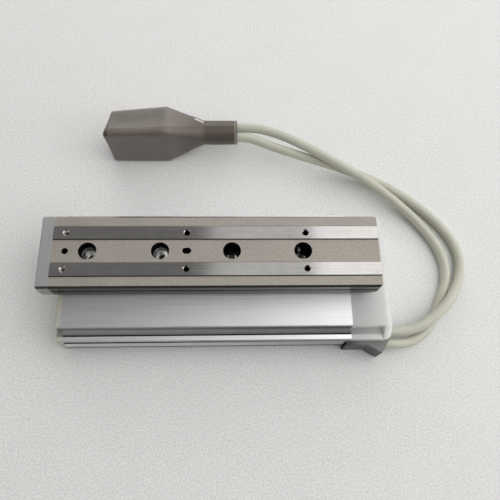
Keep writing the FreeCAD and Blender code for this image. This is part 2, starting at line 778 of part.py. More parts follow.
def make_pulley_cover():
    body = new_body("pulley_cover")
    outline = sketch_on(body, "YZ_Plane", "body_end")
    polygon(outline, stepped_outline())
    pad(body, outline, "recess_end - body_end")
    closed = sketch_on(body, "YZ_Plane", "recess_end")
    polygon(closed, [("body_front", "0"), ("body_rear", "0"), ("body_rear", "body_top"),
                     ("top_front", "body_top"), ("body_front", "ledge_top")])
    pad(body, closed, "cover_end - recess_end")
    soften(body, "Fillet", lambda edge: lies_at(edge, x="cover_end")
           and edge.BoundBox.ZMax > 0
           or lies_at(edge, y="body_rear", z="body_top"), "cover_round")
    depth = "cover_end - cover_wall - body_end"
    cavity = sketch_on(body, "YZ_Plane", "body_end")
    rectangle(cavity, "cavity_front", "cover_wall", "body_rear - cover_wall", "body_top - cover_wall")
    for y, z in COVER_SCREWS:
        circle(cavity, y, z, "boss_size")
    pocket(body, cavity, depth, forward=True)
    seat = sketch_on(body, "YZ_Plane", "body_end")
    rectangle(seat, "cavity_front", "cover_wall", "body_rear - cover_wall", "body_top - cover_wall")
    pocket(body, seat, "plate_thick", forward=True)
    notch = sketch_on(body, "XY_Plane")
    rectangle(notch, "body_end", "body_front - cut_over", "cover_end + cut_over", "notch_rear")
    pocket(body, notch, "notch_top", forward=True)
    holes(body, "YZ_Plane", "cover_end", [("screw_y", "drive_height")], "override_hole", "cover_wall")
    holes(body, "YZ_Plane", "cover_end", COVER_SCREWS, "small_screw + part_clear",
          "cover_end - body_end")
    holes(body, "YZ_Plane", "cover_end", COVER_SCREWS, "small_head + 2 * part_clear",
          "small_head_long + part_clear")
    keep(body)
    screw = cap_screw("cover_screw_master", "small_head", "small_head_long", "small_screw",
                      "cover_screw_long", "small_key")
    group("pulley_cover_screws", screw,
          [("cover_end - small_head_long - part_clear", y, z) for y, z in COVER_SCREWS], BACKWARDS)


def make_grommet():
    body = new_body("cable_grommet")
    inside = "notch_rear - part_clear / 2"
    outside = "body_front - part_clear / 2"
    top = "notch_top - part_clear / 2"
    outline = sketch_on(body, "XY_Plane", "grommet_low")
    polygon(outline, [
        ("grommet_left", "grommet_front"), ("lug_root", "grommet_front"), ("lug_tip_x", "lug_tip_y"),
        ("lug_side_x", "lug_side_y"), ("grommet_end", "lug_back_y"), ("grommet_end", inside),
        ("grommet_neck", inside), ("grommet_neck", "cavity_front"),
        ("grommet_inner", "cavity_front"), ("grommet_inner", outside), ("grommet_left", outside)])
    pad(body, outline, top + " - grommet_low")
    soften(body, "Fillet", lambda edge: lies_at(edge, x="lug_tip_x", y="lug_tip_y")
           or lies_at(edge, x="lug_side_x", y="lug_side_y")
           or lies_at(edge, x="grommet_left", y="grommet_front"), "grommet_round")
    soften(body, "Chamfer", lambda edge: lies_at(edge, z=top)
           and edge.CenterOfMass.y < value(outside), "edge_break")
    holes(body, "YZ_Plane", "grommet_end", CABLE_EXITS, "cable_size + part_clear",
          "grommet_end - cable_seat")
    keep(body)


# Lead screw line

def make_screw_line():
    screw = new_body("lead_screw", y="screw_y", z="drive_height")
    tip = "nut_start - stroke - screw_spare"
    shoulder = "body_end - 2 * bearing_wide"
    revolve(screw, [
        (tip, "0"), ("screw_end", "0"), ("screw_end", "override_size / 2"),
        ("lock_nut_end", "override_size / 2"), ("lock_nut_end", "journal_size / 2"),
        (shoulder, "journal_size / 2"), (shoulder, "collar_size / 2"),
        (shoulder + " - collar_long", "collar_size / 2"),
        (shoulder + " - collar_long", "screw_size / 2"), (tip, "screw_size / 2")])
    slot = sketch_on(screw, "YZ_Plane", "screw_end")
    rectangle(slot, "-override_slot / 2", "-override_size", "override_slot / 2", "override_size")
    pocket(screw, slot, "override_slot")
    keep(screw)

    outer = ring("bearing_outer_master", "screw_y", "0", "bearing_wide - run_clear",
                 "bearing_outer", "bearing_race")
    group("bearing_outer_rings", outer, bearing_places())
    inner = ring("bearing_inner_master", "screw_y", "0", "bearing_wide - run_clear",
                 "(bearing_race - 2 * bearing_gap)", "(journal_size + run_clear)")
    group("bearing_inner_rings", inner, bearing_places())

    keep(ring("rod_bush", "screw_y", "body_start", "body_start + bush_long",
              "(screw_bore - run_clear)", "(rod_outer + 2 * run_clear)"))
    keep(ring("rod_seal", "screw_y", "cover_start", "body_start",
              "(screw_bore - run_clear)", "(rod_outer + 2 * run_clear)"))
    keep(ring("screw_spacer", "screw_y", "body_end", PULLEY_LEFT, "spacer_size",
              "(journal_size + run_clear)"))
    nut = new_body("pulley_lock_nut", y="screw_y", z="drive_height")
    flats = sketch_on(nut, "YZ_Plane", PULLEY_RIGHT)
    hexagon(flats, "lock_nut_size")
    circle(flats, "0", "0", "journal_size + run_clear")
    pad(nut, flats, "lock_nut_end - (%s)" % PULLEY_RIGHT)
    keep(nut)


def bearing_places():
    """Where the two bearings stand, side by side against the end of the body."""
    return [("body_end - %d * bearing_wide" % i, "screw_y", "drive_height") for i in (1, 2)]


# Belt drive

def make_pulley(label, axis_y, bore):
    """A toothed belt pulley with a flange on each side of the teeth and a short hub."""
    body = new_body(label, y=axis_y, z="drive_height")
    land = "pulley_land / 2"
    rim = "pulley_flange / 2"
    hole = "%s / 2 + run_clear / 2" % bore
    left = "belt_start - belt_gap"
    right = "belt_start + belt_wide + belt_gap"
    revolve(body, [
        (PULLEY_LEFT, hole), (PULLEY_RIGHT, hole), (PULLEY_RIGHT, rim), (right, rim), (right, land),
        (left, land), (left, rim), (left + " - flange_thick", rim),
        (left + " - flange_thick", "hub_size / 2"), (PULLEY_LEFT, "hub_size / 2")])
    gap = sketch_on(body, "YZ_Plane", right)
    circle(gap, "0", land, "tooth_gap")
    cut = pocket(body, gap, "belt_wide + 2 * belt_gap")
    ring_of_gaps = body.newObject("PartDesign::PolarPattern", label + "_teeth")
    ring_of_gaps.Originals = [cut]
    ring_of_gaps.Axis = (gap, ["N_Axis"])
    ring_of_gaps.Angle = 360
    bind(ring_of_gaps, "Occurrences", "pulley_teeth")
    body.Tip = ring_of_gaps
    doc.recompute()
    keep(body)


def make_belt():
    body = new_body("drive_belt")
    band = sketch_on(body, "YZ_Plane", "belt_start")
    ends = [("motor_y", "drive_height"), ("screw_y", "drive_height")]
    rounded(band, ends, "pulley_land + 2 * belt_lift + 2 * belt_thick")
    rounded(band, ends, "pulley_land + 2 * belt_lift")
    pad(body, band, "belt_wide")
    keep(body)


# Motor and its plate

def make_motor():
    plate = new_body("motor_plate")
    outline = sketch_on(plate, "YZ_Plane", "body_end")
    rectangle(outline, "plate_front", "plate_foot", "plate_rear", "plate_head")
    circle(outline, "motor_y", "drive_height", "plate_motor_hole")
    circle(outline, "screw_y", "drive_height", "plate_screw_hole")
    pad(plate, outline, "plate_thick")
    holes(plate, "YZ_Plane", "body_end + plate_thick", PLATE_SCREWS, "plate_screw + part_clear",
          "plate_thick")
    holes(plate, "YZ_Plane", "body_end + plate_thick", COVER_SCREWS, "small_screw + part_clear",
          "plate_thick")
    holes(plate, "YZ_Plane", "body_end + plate_thick", MOTOR_SCREWS, "motor_screw + part_clear",
          "plate_thick")
    keep(plate)
    screw = cap_screw("plate_screw_master", "plate_screw_head", "plate_screw_head_long",
                      "plate_screw", "plate_screw_long", "plate_screw_key")
    group("motor_plate_screws", screw,
          [("body_end + plate_thick", y, z) for y, z in PLATE_SCREWS], BACKWARDS)
    small = cap_screw("motor_screw_master", "motor_screw_head", "motor_screw_head_long",
                      "motor_screw", "motor_screw_long", "motor_screw_key")
    group("motor_screws", small,
          [("body_end + plate_thick", y, z) for y, z in MOTOR_SCREWS], BACKWARDS)

    bore = "motor_shaft + 2 * run_clear"
    sections = [("motor_flange", "flange_start", "body_end", "motor_side", bore),
                ("motor_stator", "stator_start", "flange_start", "stator_side", "stator_bore"),
                ("motor_end_bell", "bell_start", "stator_start", "motor_side", bore)]
    for label, start, end, side, hole in sections:
        frame = new_body(label)
        face = sketch_on(frame, "YZ_Plane", start)
        square_frame(face, "motor_y", side)
        circle(face, "motor_y", "drive_height", hole)
        pad(frame, face, "%s - %s" % (end, start))
        if label == "motor_flange":
            holes(frame, "YZ_Plane", "body_end", MOTOR_SCREWS, "motor_screw + run_clear",
                  "motor_screw_long")
        keep(frame)

    encoder = new_body("encoder_housing")
    face = sketch_on(encoder, "YZ_Plane", "encoder_start")
    square_frame(face, "motor_y", "encoder_side")
    pad(encoder, face, "bell_start - encoder_start")
    holes(encoder, "YZ_Plane", "bell_start", [("motor_y", "drive_height")], "encoder_bore",
          "bell_start - encoder_start - encoder_wall")
    keep(encoder)

    keep(ring("encoder_disc", "motor_y", "disc_start", "disc_start + disc_thick", "disc_size",
              "(motor_shaft + run_clear)"))
    keep(ring("motor_rotor", "motor_y", "stator_start + rotor_gap", "flange_start - rotor_gap",
              "rotor_size", "(motor_shaft + run_clear)"))
    shaft = new_body("motor_shaft", y="motor_y", z="drive_height")
    revolve(shaft, [("shaft_start", "0"), (PULLEY_RIGHT, "0"), (PULLEY_RIGHT, "motor_shaft / 2"),
                    ("shaft_start", "motor_shaft / 2")])
    keep(shaft)


# Cables and the soft cover on their connector

# Routes of the two cables in the bench frame, from the grommet to the connector cover's neck.
REAR_CABLE = [
    (158.0, -16.2, 7.6), (164.4, -16.2, 7.6), (171.0, -15.9, 7.7), (177.4, -14.2, 7.9),
    (183.4, -10.9, 8.1), (189.4, -6.4, 8.1), (195.6, -0.3, 7.4), (201.4, 7.4, 5.0),
    (205.6, 16.2, 3.0), (206.9, 25.8, 2.6), (204.2, 35.4, 2.6), (197.8, 45.4, 2.6),
    (187.6, 56.0, 2.6), (174.0, 66.2, 3.0), (157.8, 74.2, 4.2), (141.2, 79.5, 6.2),
    (126.4, 83.3, 8.2), (114.2, 86.6, 9.8), (104.2, 89.8, 11.0), (96.6, 92.6, 11.9),
    (91.8, 93.75, 12.2), (86.9, 93.75, 12.2)]
FRONT_CABLE = [
    (158.0, -21.9, 6.2), (163.8, -21.9, 6.2), (169.4, -21.7, 5.3), (174.8, -20.3, 4.6),
    (179.7, -17.7, 3.9), (183.9, -14.0, 3.2), (187.4, -9.1, 2.7), (190.8, -3.1, 2.6),
    (194.4, 4.1, 2.6), (197.2, 11.7, 2.6), (198.3, 19.8, 2.6), (196.8, 28.2, 2.6),
    (193.0, 36.8, 2.6), (185.8, 46.8, 3.1), (174.4, 57.8, 5.2), (160.0, 68.1, 8.8),
    (144.4, 76.6, 11.6), (129.4, 85.2, 13.0), (115.4, 92.9, 13.6), (102.4, 98.0, 13.6),
    (94.6, 99.05, 13.6), (86.9, 99.05, 13.6)]
ARC_SHARE = 0.45


def cable_path(label, route):
    """Straight runs joined by tangent arcs, each as large as the shorter of its two runs allows."""
    points = [Vector(*point) for point in route]
    edges = []
    radii = []
    here = points[0]
    for before, corner, after in zip(points, points[1:], points[2:]):
        inwards = (before - corner).normalize()
        outwards = (after - corner).normalize()
        turn = math.pi - inwards.getAngle(outwards)
        reach = ARC_SHARE * min(before.distanceToPoint(corner), corner.distanceToPoint(after))
        radius = reach / math.tan(turn / 2)
        start = corner + inwards * reach
        finish = corner + outwards * reach
        bisector = (inwards + outwards).normalize()
        middle = corner + bisector * (radius / math.cos(turn / 2) - radius)
        edges.append(Part.LineSegment(here, start).toShape())
        edges.append(Part.Arc(start, middle, finish).toShape())
        radii.append(radius)
        here = finish
    edges.append(Part.LineSegment(here, points[-1]).toShape())
    print(label, "radii", " ".join("%.0f" % radius for radius in radii))
    return Part.Wire(edges)


def make_cable(label, route):
    path = cable_path(label, route)
    size = value("cable_size")
    start = Vector(*route[0])
    heading = Vector(*route[1]) - start
    section = Part.Wire(Part.makeCircle(size / 2, start, heading))
    tube = path.makePipeShell([section], True, True)
    expected = math.pi * size ** 2 / 4 * path.Length
    print(label, "length %.1f volume %.1f of %.1f" % (path.Length, tube.Volume, expected))
    cable = doc.addObject("Part::Feature", label)
    cable.Label = label
    cable.Shape = tube
    place(cable)
    keep(cable)


def sleeve_corners(rear, high):
    """Centres of the corner arcs of the connector cover's section, anticlockwise."""
    rim = "sleeve_round"
    return [("sleeve_front + " + rim, rim), ("%s - %s" % (rear, rim), rim),
            ("%s - %s" % (rear, rim), "%s - %s" % (high, rim)),
            ("sleeve_front + " + rim, "%s - %s" % (high, rim))]


def make_connector():
    cover = new_body("connector_cover")
    end = sketch_on(cover, "YZ_Plane", "sleeve_left")
    rounded(end, sleeve_corners("end_rear", "end_high"), "2 * sleeve_round")
    shoulder = sketch_on(cover, "YZ_Plane", "sleeve_shoulder")
    rounded(shoulder, sleeve_corners("sleeve_rear", "sleeve_high"), "2 * sleeve_round")
    throat = sketch_on(cover, "YZ_Plane", "neck_start")
    neck_corners = [("neck_y %s neck_flat / 2" % across, "neck_height %s neck_flat / 2" % up)
                    for across, up in (("-", "-"), ("+", "-"), ("+", "+"), ("-", "+"))]
    rounded(throat, neck_corners, "neck_size - neck_flat")
    sleeve = cover.newObject("PartDesign::AdditiveLoft", "connector_cover_sleeve")
    sleeve.Profile = end
    sleeve.Sections = [shoulder, throat]
    sleeve.Ruled = True
    doc.recompute()
    neck = sketch_on(cover, "YZ_Plane", "neck_start")
    rounded(neck, neck_corners, "neck_size - neck_flat")
    pad(cover, neck, "neck_end - neck_start")
    slant = sketch_on(cover, "XY_Plane", "sleeve_high")
    polygon(slant, [("sleeve_left - cut_over", "sleeve_front"), ("sleeve_left", "sleeve_front"),
                    ("sleeve_rear_left", "sleeve_rear"), ("sleeve_left - cut_over", "sleeve_rear")])
    pocket(cover, slant, "sleeve_high")
    rake = sketch_on(cover, "XZ_Plane", "-sleeve_front")
    polygon(rake, [("sleeve_left - cut_over", "0"), ("sleeve_foot_left", "0"),
                   ("sleeve_left", "end_high"), ("sleeve_left - cut_over", "end_high")])
    pocket(cover, rake, "sleeve_rear - sleeve_front")
    hollow = sketch_on(cover, "YZ_Plane", "sleeve_shoulder")
    rectangle(hollow, "sleeve_front + sleeve_wall", "sleeve_wall", "end_rear - sleeve_wall / 2",
              "end_high - sleeve_wall")
    pocket(cover, hollow, "sleeve_shoulder - sleeve_inside")
    passage = sketch_on(cover, "YZ_Plane", "neck_end")
    rounded(passage, CABLE_ENDS, "cable_size + part_clear")
    pocket(cover, passage, "neck_end - plug_end")
    keep(cover)

    plug = new_body("cable_connector")
    shell = sketch_on(plug, "YZ_Plane", "plug_start")
    rectangle(shell, "plug_front", "plug_low", "plug_rear", "plug_high")
    pad(plug, shell, "plug_end - plug_start")
    tails = sketch_on(plug, "YZ_Plane", "plug_end")
    for y, z in CABLE_ENDS:
        circle(tails, y, z, "cable_size")
    pad(plug, tails, "neck_end - plug_end")
    contacts = sketch_on(plug, "YZ_Plane", "plug_start")
    for i in range(2):
        for j in range(3):
            across = "plug_front + (plug_rear - plug_front) * %g" % ((i + 0.5) / 2)
            up = "plug_low + (plug_high - plug_low) * %g" % ((j + 0.5) / 3)
            half = "contact_size / 2"
            rectangle(contacts, "%s - %s" % (across, half), "%s - %s" % (up, half),
                      "%s + %s" % (across, half), "%s + %s" % (up, half))
    pocket(plug, contacts, "contact_deep", forward=True)
    keep(plug)


def make_carriage_screws():
    small = cap_screw("end_plate_screw_master", "small_head", "small_head_long", "small_screw",
                      "small_screw_long - plate_start - small_head_long - small_screw_spare", "small_key")
    group("end_plate_screws", small,
          [("plate_start + small_head_long + part_clear", y, z) for y, z in END_PLATE_SCREWS])
    bolt = cap_screw("rod_bolt_master", "rod_bolt_head", "rod_bolt_head_long", "rod_bolt",
                     "rod_bolt_long", "rod_bolt_key")
    group("rod_bolt", bolt,
          [("plate_start + rod_bolt_head_long + part_clear", "screw_y", "drive_height")])


make_table()
make_end_plate()
make_rod_and_nut()
make_carriage_screws()
make_guide()
make_body()
make_end_cover()
make_pulley_cover()
make_grommet()
make_screw_line()
make_pulley("screw_pulley", "screw_y", "journal_size")
make_pulley("motor_pulley", "motor_y", "motor_shaft")
make_belt()
make_motor()
make_cable("rear_cable", REAR_CABLE)
make_cable("front_cable", FRONT_CABLE)
make_connector()
doc.recompute()

failed = [thing.Name for thing in doc.Objects if "Invalid" in thing.State or "Error" in thing.State]
if failed:
    raise RuntimeError("failed objects: " + ", ".join(failed))
for thing in exported:
    if thing.Shape.isNull() or not thing.Shape.isValid():
        raise RuntimeError("bad shape: " + thing.Label)

os.makedirs("parts", exist_ok=True)
for thing in exported:
    thing.Shape.exportStep("parts/%s.step" % thing.Label)
    print(thing.Label, len(thing.Shape.Solids), "%.1f" % thing.Shape.Volume)
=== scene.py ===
"""Looks of an electric slide table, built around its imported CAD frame.

Lengths are in metres. Places are given in the bench frame: X to the right from the table's left
end, Y rearwards from the front of the table's skirts, Z up from the floor. The row frame is the
CAD frame's own.
"""

import logging
import math
from collections.abc import Callable, Iterable, Sequence
from dataclasses import dataclass, replace
from enum import Enum
from typing import ClassVar

import bpy
from mathutils import Matrix, Vector, noise


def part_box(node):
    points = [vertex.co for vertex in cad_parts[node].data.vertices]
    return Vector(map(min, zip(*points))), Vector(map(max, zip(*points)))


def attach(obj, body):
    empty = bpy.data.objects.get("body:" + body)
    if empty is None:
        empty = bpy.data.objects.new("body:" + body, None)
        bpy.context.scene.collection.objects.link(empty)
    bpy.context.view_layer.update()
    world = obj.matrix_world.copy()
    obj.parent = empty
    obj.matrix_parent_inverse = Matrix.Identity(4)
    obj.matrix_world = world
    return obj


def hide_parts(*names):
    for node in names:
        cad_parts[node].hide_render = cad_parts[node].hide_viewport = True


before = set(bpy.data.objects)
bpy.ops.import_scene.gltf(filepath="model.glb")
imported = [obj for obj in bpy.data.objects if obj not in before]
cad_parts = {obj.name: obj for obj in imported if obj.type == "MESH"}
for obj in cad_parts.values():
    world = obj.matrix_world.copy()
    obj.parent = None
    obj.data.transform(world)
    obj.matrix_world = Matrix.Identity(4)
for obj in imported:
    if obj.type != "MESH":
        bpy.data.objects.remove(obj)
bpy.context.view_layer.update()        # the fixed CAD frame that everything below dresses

MM = 0.001
Point = tuple[float, float, float]
FaceTest = Callable[[Vector, Vector], bool]
PolygonTest = Callable[[bpy.types.MeshPolygon], bool]
Socket = bpy.types.NodeSocket

# How far the table's flanks stand out past its skirts, and where the bench frame starts
FLANK_OUT = 0.8 * MM
BENCH_ZERO = Vector((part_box("table")[0].x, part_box("table")[0].y + FLANK_OUT, 0.0))

# Slack when the place of a face is compared with a size
HAIR = 0.05 * MM
# How much of a face's normal lies along an axis
SQUARE_ON = 0.9
MOSTLY = 0.6
HALF = 0.5
HARDLY = 0.1

# The sRGB curve
SRGB_KNEE = 0.04045
SRGB_SLOPE = 12.92
SRGB_OFFSET = 0.055
SRGB_POWER = 2.4

# Noise of the finishes: its range as it comes, and how much fine structure it has
CLOUD_RANGE = (0.28, 0.72)
CLOUD_ROUGHNESS = 0.55
GRAIN_DETAIL = 3.0
MOTTLE_DETAIL = 2.0
# Depth to which light passes under a resin's surface
GLOW_DEPTH = 2.0 * MM

logging.basicConfig(level=logging.INFO, format="%(levelname)s %(message)s")
log = logging.getLogger("slide_table")


def at(x: float, y: float, z: float) -> Vector:
    """A bench-frame place as a point of the row frame."""
    return BENCH_ZERO + Vector((x, y, z))


def held(share: float) -> float:
    """A share held between 0 and 1."""
    return min(max(share, 0.0), 1.0)


def linear(colour: str) -> tuple[float, float, float, float]:
    """Turn a colour written as #rrggbb into the linear values that shaders take.

    Args:
        colour: sRGB colour in six hexadecimal digits after a #.

    Returns:
        Red, green, blue and a full alpha.
    """
    channels = [int(colour[i:i + 2], 16) / 255 for i in (1, 3, 5)]
    red, green, blue = (c / SRGB_SLOPE if c <= SRGB_KNEE
                        else ((c + SRGB_OFFSET) / (1 + SRGB_OFFSET)) ** SRGB_POWER for c in channels)
    return red, green, blue, 1.0


class Axis(Enum):
    """An axis of the row frame, by its name in Blender."""

    X = "X"
    Y = "Y"
    Z = "Z"


class Grain(Enum):
    """Which way the fine marks of a surface run, as how closely they repeat along X, Y and Z."""

    EVEN = (1.0, 1.0, 1.0)
    ALONG = (0.012, 1.0, 1.0)
    ACROSS = (1.0, 0.02, 1.0)
    ROUND_X = (1.0, 0.15, 0.15)


class NodePen:
    """Adds shader nodes to one node tree and links them."""

    def __init__(self, tree: bpy.types.NodeTree) -> None:
        """Start on an empty tree."""
        self.tree = tree
        tree.nodes.clear()

    def add(self, kind: str, inputs: dict[str | int, object] | None = None,
            **settings: object) -> bpy.types.Node:
        """Add a node, set its properties and fill its sockets.

        Args:
            kind: Node type without the ShaderNode prefix.
            inputs: Socket name or number to a plain value, or to another node's output socket.
            settings: Properties of the node itself.

        Returns:
            The new node.
        """
        node = self.tree.nodes.new("ShaderNode" + kind)
        for name, setting in settings.items():
            setattr(node, name, setting)
        for key, value in (inputs or {}).items():
            if isinstance(value, Socket):
                self.tree.links.new(value, node.inputs[key])
            else:
                node.inputs[key].default_value = value
        return node

    def math(self, operation: str, *values: object) -> Socket:
        """Add a Math node and return its output."""
        return self.add("Math", dict(enumerate(values)), operation=operation).outputs[0]

    def along(self, coordinates: Socket, axis: Axis) -> Socket:
        """One of the three coordinates."""
        return self.add("SeparateXYZ", {0: coordinates}).outputs[axis.value]

    def span(self, value: Socket, old: tuple[float, float], new: tuple[float, float],
             smooth: bool = False) -> Socket:
        """Map a value from one span to another and hold it there.

        Args:
            value: The value.
            old: Ends of the span that it comes from.
            new: Ends of the span that it goes to.
            smooth: Whether the change eases in and out.

        Returns:
            Socket with the mapped value.
        """
        kind = "SMOOTHSTEP" if smooth else "LINEAR"
        inputs = dict(enumerate((value, *old, *new)))
        return self.add("MapRange", inputs, interpolation_type=kind).outputs[0]

    def noise(self, coordinates: Socket, stretch: Sequence[float], size: float, detail: float) -> Socket:
        """Noise of one mark size, spread over about 0 to 1.

        Args:
            coordinates: Object coordinates.
            stretch: How closely the marks repeat along X, Y and Z.
            size: Width of one mark.
            detail: How many finer layers it has.

        Returns:
            Socket with the noise.
        """
        scale = [share / size for share in stretch]
        mapped = self.add("Mapping", {"Vector": coordinates, "Scale": scale}).outputs[0]
        cloud = self.add("TexNoise", {"Vector": mapped, "Scale": 1.0, "Detail": detail,
                                      "Roughness": CLOUD_ROUGHNESS})
        return self.span(cloud.outputs["Fac"], CLOUD_RANGE, (0.0, 1.0))


@dataclass(frozen=True)
class Finish:
    """A surface finish with fine marks and broad mottling, as a procedural material.

    Attributes:
        name: Name of the finish.
        colour: Mean colour as #rrggbb.
        metallic: METAL for bare or anodised metal, PLAIN for resin, rubber and vinyl.
        roughness: Mean roughness.
        grain: Way of the fine marks.
        grain_size: Width of one fine mark.
        grain_shade: Share by which the marks lighten and darken the colour.
        grain_gloss: How far the marks move the roughness.
        grain_depth: Depth of the marks.
        mottle_size: Width of one broad patch.
        mottle_shade: Share by which the patches lighten and darken the colour.
        sheen: Soft sheen of a rubbery surface.
        glow: Share of light that passes under the surface.
        brushed: How far reflections are drawn out across X.
        gleam: Strength of the gloss on a surface that is not metal.
    """

    name: str
    colour: str
    metallic: float
    roughness: float
    grain: Grain = Grain.EVEN
    grain_size: float = 0.4 * MM
    grain_shade: float = 0.06
    grain_gloss: float = 0.05
    grain_depth: float = 0.01 * MM
    mottle_size: float = 14 * MM
    mottle_shade: float = 0.04
    sheen: float = 0.0
    glow: float = 0.0
    brushed: float = 0.0
    gleam: float = 0.5

    def shade(self, pen: NodePen, coordinates: Socket, marks: Socket) -> Socket:
        """Lightness of the surface about 1, from its marks and patches.

        Args:
            pen: Pen on the material's tree.
            coordinates: Object coordinates.
            marks: The fine marks, 0 to 1.

        Returns:
            Socket with the factor on the colour.
        """
        patches = pen.noise(coordinates, Grain.EVEN.value, self.mottle_size, MOTTLE_DETAIL)
        fine = pen.math("MULTIPLY_ADD", marks, 2 * self.grain_shade, 1 - self.grain_shade)
        broad = pen.math("MULTIPLY_ADD", patches, 2 * self.mottle_shade, 1 - self.mottle_shade)
        return pen.math("MULTIPLY", fine, broad)

    def tint(self, pen: NodePen, coordinates: Socket) -> object:
        """The colour before shading, the same all over unless a finish says otherwise."""
        return linear(self.colour)[:3]

    def gloss(self, pen: NodePen, coordinates: Socket, marks: Socket) -> Socket:
        """Roughness about its mean, moved by the fine marks."""
        return pen.math("MULTIPLY_ADD", marks, 2 * self.grain_gloss, self.roughness - self.grain_gloss)

    def material(self) -> bpy.types.Material:
        """Make the finish's material, or fetch it where it is made.

        Returns:
            The material, shared by all pieces of the finish.
        """
        made = bpy.data.materials.get(self.name)
        if made:
            return made
        made = bpy.data.materials.new(self.name)
        made.use_nodes = True
        pen = NodePen(made.node_tree)
        coordinates = pen.add("TexCoord").outputs["Object"]
        marks = pen.noise(coordinates, self.grain.value, self.grain_size, GRAIN_DETAIL)
        factor = self.shade(pen, coordinates, marks)
        colour = pen.add("VectorMath", {0: self.tint(pen, coordinates), "Scale": factor},
                         operation="SCALE")
        relief = pen.add("Bump", {"Height": marks, "Distance": self.grain_depth, "Strength": 1.0})
        surface = pen.add("BsdfPrincipled", {
            "Base Color": colour.outputs[0], "Metallic": self.metallic,
            "Roughness": self.gloss(pen, coordinates, marks), "Normal": relief.outputs[0],
            "Sheen Weight": self.sheen, "Subsurface Weight": self.glow,
            "Subsurface Scale": GLOW_DEPTH, "Anisotropic": self.brushed,
            "Specular IOR Level": self.gleam})
        if self.brushed:
            lay = pen.add("Tangent", direction_type="RADIAL", axis="X")
            made.node_tree.links.new(lay.outputs[0], surface.inputs["Tangent"])
        pen.add("OutputMaterial", {"Surface": surface.outputs[0]})
        return made


@dataclass(frozen=True)
class FadedFinish(Finish):
    """A finish whose colour turns into a second one along X.

    Attributes:
        far_colour: Colour at the far end, as #rrggbb.
        fade_start: Row-frame X where the change starts.
        fade_end: Row-frame X where the change ends.
    """

    far_colour: str = "#000000"
    fade_start: float = 0.0
    fade_end: float = 10 * MM

    def tint(self, pen: NodePen, coordinates: Socket) -> object:
        """Mix the two colours by place along X.

        Args:
            pen: Pen on the material's tree.
            coordinates: Object coordinates.

        Returns:
            Socket with the colour.
        """
        place = pen.along(coordinates, Axis.X)
        share = pen.span(place, (self.fade_start, self.fade_end), (0.0, 1.0), smooth=True)
        colours = {"Factor": share, "A": linear(self.colour), "B": linear(self.far_colour)}
        return pen.add("Mix", colours, data_type="RGBA").outputs["Result"]


@dataclass(frozen=True)
class RampFinish(FadedFinish):
    """A faded finish that also darkens towards one edge, as an unlit edge does.

    Attributes:
        ramp_axis: Axis across the edge.
        ramp_full: Row-frame place where the darkening starts.
        ramp_edge: Row-frame place of the edge.
        ramp_share: Share of the colour that is left at the edge.
    """

    ramp_axis: Axis = Axis.Z
    ramp_full: float = 10 * MM
    ramp_edge: float = 0.0
    ramp_share: float = 0.5

    def shade(self, pen: NodePen, coordinates: Socket, marks: Socket) -> Socket:
        """The common lightness, less towards the edge.

        Args:
            pen: Pen on the material's tree.
            coordinates: Object coordinates.
            marks: The fine marks, 0 to 1.

        Returns:
            Socket with the factor on the colour.
        """
        common = super().shade(pen, coordinates, marks)
        place = pen.along(coordinates, self.ramp_axis)
        share = pen.span(place, (self.ramp_edge, self.ramp_full), (self.ramp_share, 1.0))
        return pen.math("MULTIPLY", common, share)


@dataclass(frozen=True)
class MilledFinish(Finish):
    """A finish with a smoothly milled seat in a band along X.

    Attributes:
        seat_from: Row-frame Y where the seat begins.
        seat_to: Row-frame Y where the seat ends.
        seat_roughness: Roughness of the seat.
    """

    seat_from: float = 0.0
    seat_to: float = 10 * MM
    seat_roughness: float = 0.1

    def gloss(self, pen: NodePen, coordinates: Socket, marks: Socket) -> Socket:
        """The seat's roughness in its band and the common one elsewhere.

        Args:
            pen: Pen on the material's tree.
            coordinates: Object coordinates.
            marks: The fine marks, 0 to 1.

        Returns:
            Socket with the roughness.
        """
        common = super().gloss(pen, coordinates, marks)
        place = pen.along(coordinates, Axis.Y)
        begun = pen.math("GREATER_THAN", place, self.seat_from)
        inside = pen.math("MULTIPLY", begun, pen.math("LESS_THAN", place, self.seat_to))
        mixed = pen.add("Mix", {"Factor": inside, "A": common, "B": self.seat_roughness})
        return mixed.outputs["Result"]


def fade(start: float, end: float) -> dict[str, float]:
    """Ends of a fade, from bench-frame places along X."""
    return {"fade_start": BENCH_ZERO.x + start, "fade_end": BENCH_ZERO.x + end}


# How metallic a finish is
METAL = 1.0
PLAIN = 0.0

# Stretches over which colours change
LENGTH_FADE = fade(0.0, 150 * MM)
STRIP_FADE = fade(50 * MM, 150 * MM)
COVER_FADE = fade(141 * MM, 161 * MM)
GROMMET_FADE = fade(138 * MM, 148 * MM)
BOOT_FADE = fade(46 * MM, 70 * MM)

# The table and its end plate
MATTE_STEEL = Finish("matte_table_steel", "#aca69e", METAL, 0.68, grain_size=0.9 * MM, grain_shade=0.2,
                     grain_depth=0.012 * MM)
GROUND_STEEL = Finish("ground_land_steel", "#aba9a6", METAL, 0.1, Grain.ALONG, 0.35 * MM,
                      grain_shade=0.08, grain_gloss=0.03, grain_depth=0.001 * MM,
                      mottle_size=6 * MM, mottle_shade=0.05)
# Painted reflection: the flanks' steel is near-black at the left and turns lighter towards the right
SIDE_STEEL = FadedFinish("table_side_steel", "#2b2826", METAL, 0.24, Grain.ALONG, 0.5 * MM,
                         grain_shade=0.1, far_colour="#57524f", **LENGTH_FADE)
# Painted light and shade: the groove in a fixed mid tone of the flanks' steel, lighter than the flanks at
# the left and darker at the right
GROOVE_STEEL = Finish("table_groove_steel", "#4a4543", METAL, 0.35, Grain.ALONG, 0.5 * MM, grain_shade=0.1)
EDGE_STEEL = Finish("broken_edge_steel", "#b3aca7", METAL, 0.2, grain_size=0.2 * MM)
